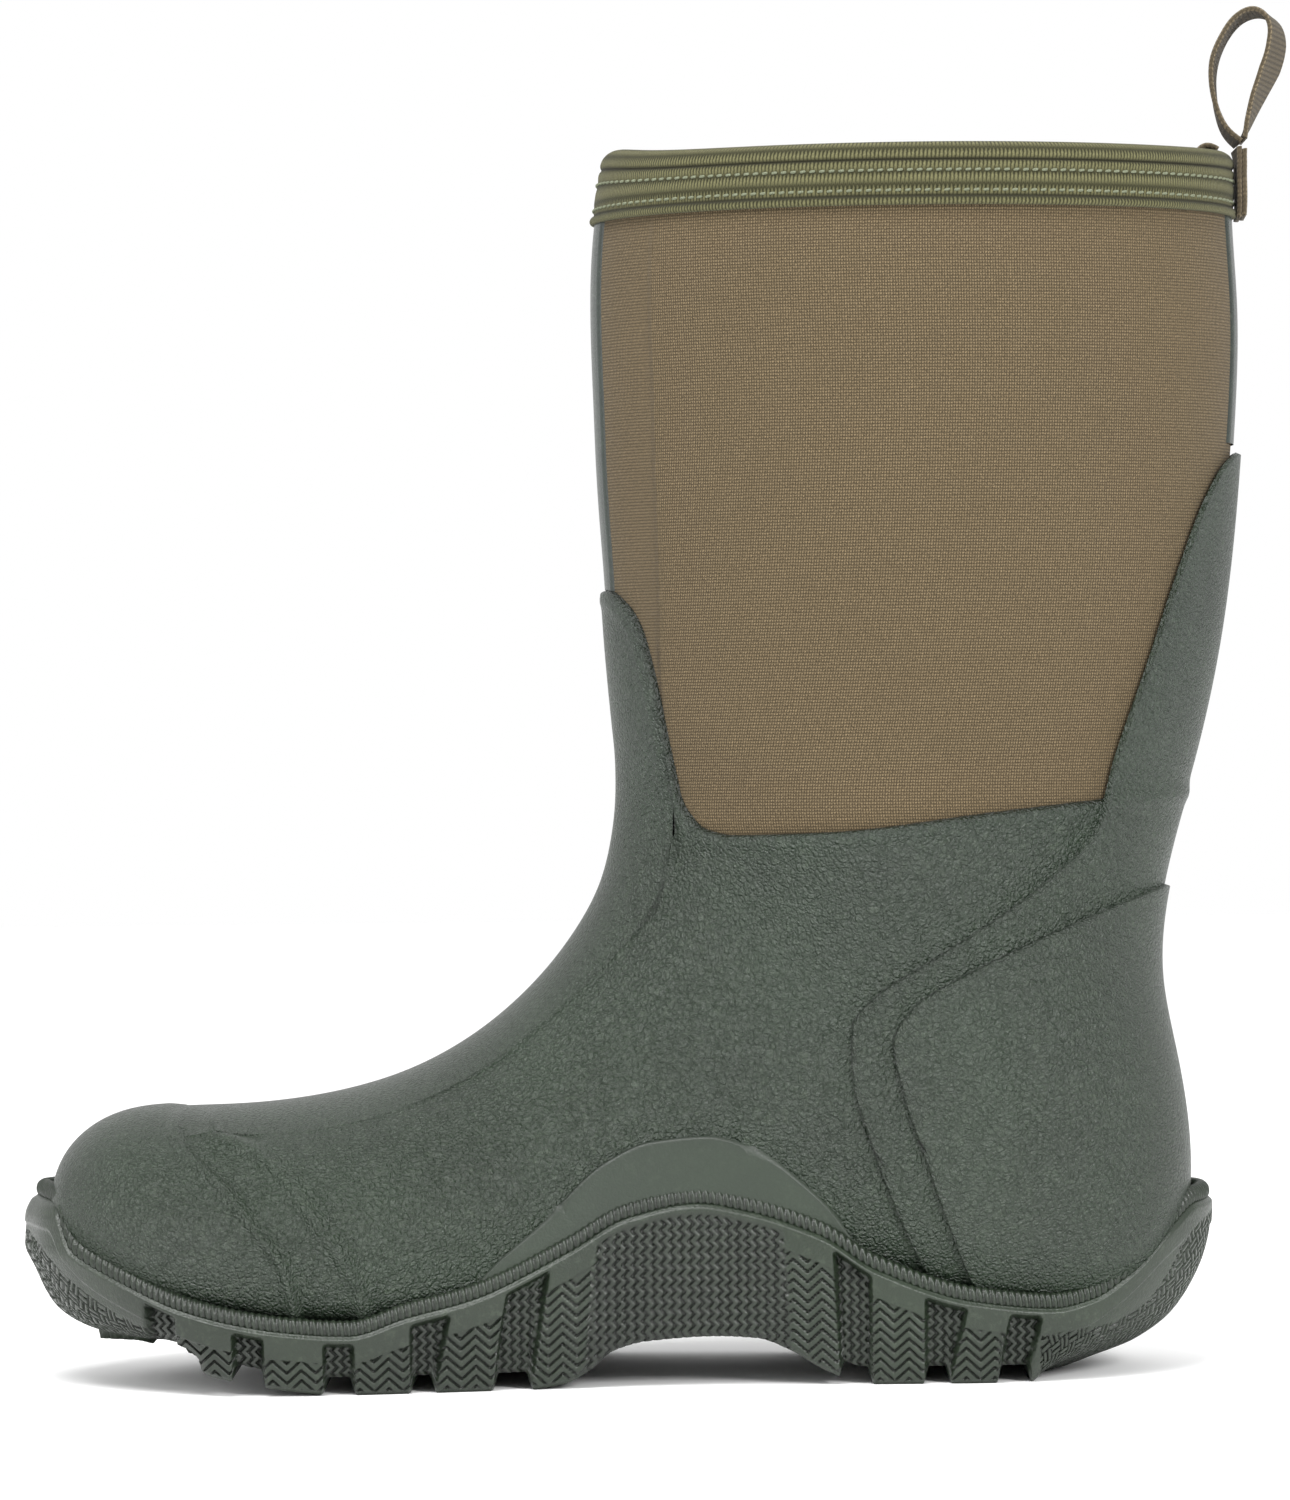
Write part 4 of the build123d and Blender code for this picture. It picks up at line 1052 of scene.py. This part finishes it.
studio = {
    "sky": 1.0,
    "lights": {
        "softTop": ((-0.3, -0.9, 1.7), (0, 0, 0.12), (0.9, 0.9), 32.0),
        "softLeft": ((-1.5, -0.7, 0.7), (0, 0, 0.15), (0.8, 1.2), 8.0),
        "softRight": ((0.95, -1.35, 0.85), (0.06, 0, 0.1), (0.4, 0.5), 22.0),
    },
    "distance": 1.510, "aim": (-0.00332, 0.0, 0.16404), "across": 0.3409, "roll": 0.01047,
}


def makeCamera():
    data = bpy.data.cameras.new("camera")
    data.sensor_fit = "HORIZONTAL"
    data.sensor_width = 36.0
    data.lens = 36.0 * studio["distance"] / studio["across"]
    camera = bpy.data.objects.new("camera", data)
    bpy.context.scene.collection.objects.link(camera)
    c, s = math.cos(studio["roll"]), math.sin(studio["roll"])
    turn = Matrix(((c, s, 0), (0, 0, -1), (-s, c, 0))).to_4x4()
    x, y, z = studio["aim"]
    camera.matrix_world = Matrix.Translation((x, y - studio["distance"], z)) @ turn
    bpy.context.scene.camera = camera
    bpy.context.scene.view_settings.view_transform = "Standard"


makeCamera()
makeStage()
makeGalosh()
makeToeCap()
makeBackPatch("achillesPatch", "achilles_patch", "achillesFront", form["galoshOut"],
              form["galoshOut"] + 0.2 + form["achilles"], galoshRubber, (300, 100),
              achillesRise)
makeBackPatch("heelCounter", "heel_counter", "counterFront", form["galoshOut"] + form["achilles"],
              form["galoshOut"] + 0.3 + form["achilles"] + form["counter"], galoshRubber,
              (240, 100), counterRise)
makeArchPatch("archPatchInner", "arch_patch_inner", False)
makeArchPatch("archPatchOuter", "arch_patch_outer", True)
makeSoleBottom(makeSoleWall())
makeRand()
makePanel("shaftPanelInner", "shaft_panel_inner", 0.0, 0.5)
makePanel("shaftPanelOuter", "shaft_panel_outer", 0.5, 1.0)
makeLining()
makeBinding()
makeStitches("stitchesUpper", "binding_stitch_upper", shaft["stitches"]["upper"])
makeStitches("stitchesLower", "binding_stitch_lower", shaft["stitches"]["lower"])
makeTape("frontTape", "front_seam_tape", 0.0, 206.5, 303.5)
makeTape("backTape", "back_seam_tape", 0.5, 243.0, 303.5)
makeLoop()
makeSlab("footbedFoam", "footbed", 0.5, 5.5, foam)
makeSlab("footbedCloth", "footbed_cover", 5.6, 6.4, footbedCloth)
dressHidden()
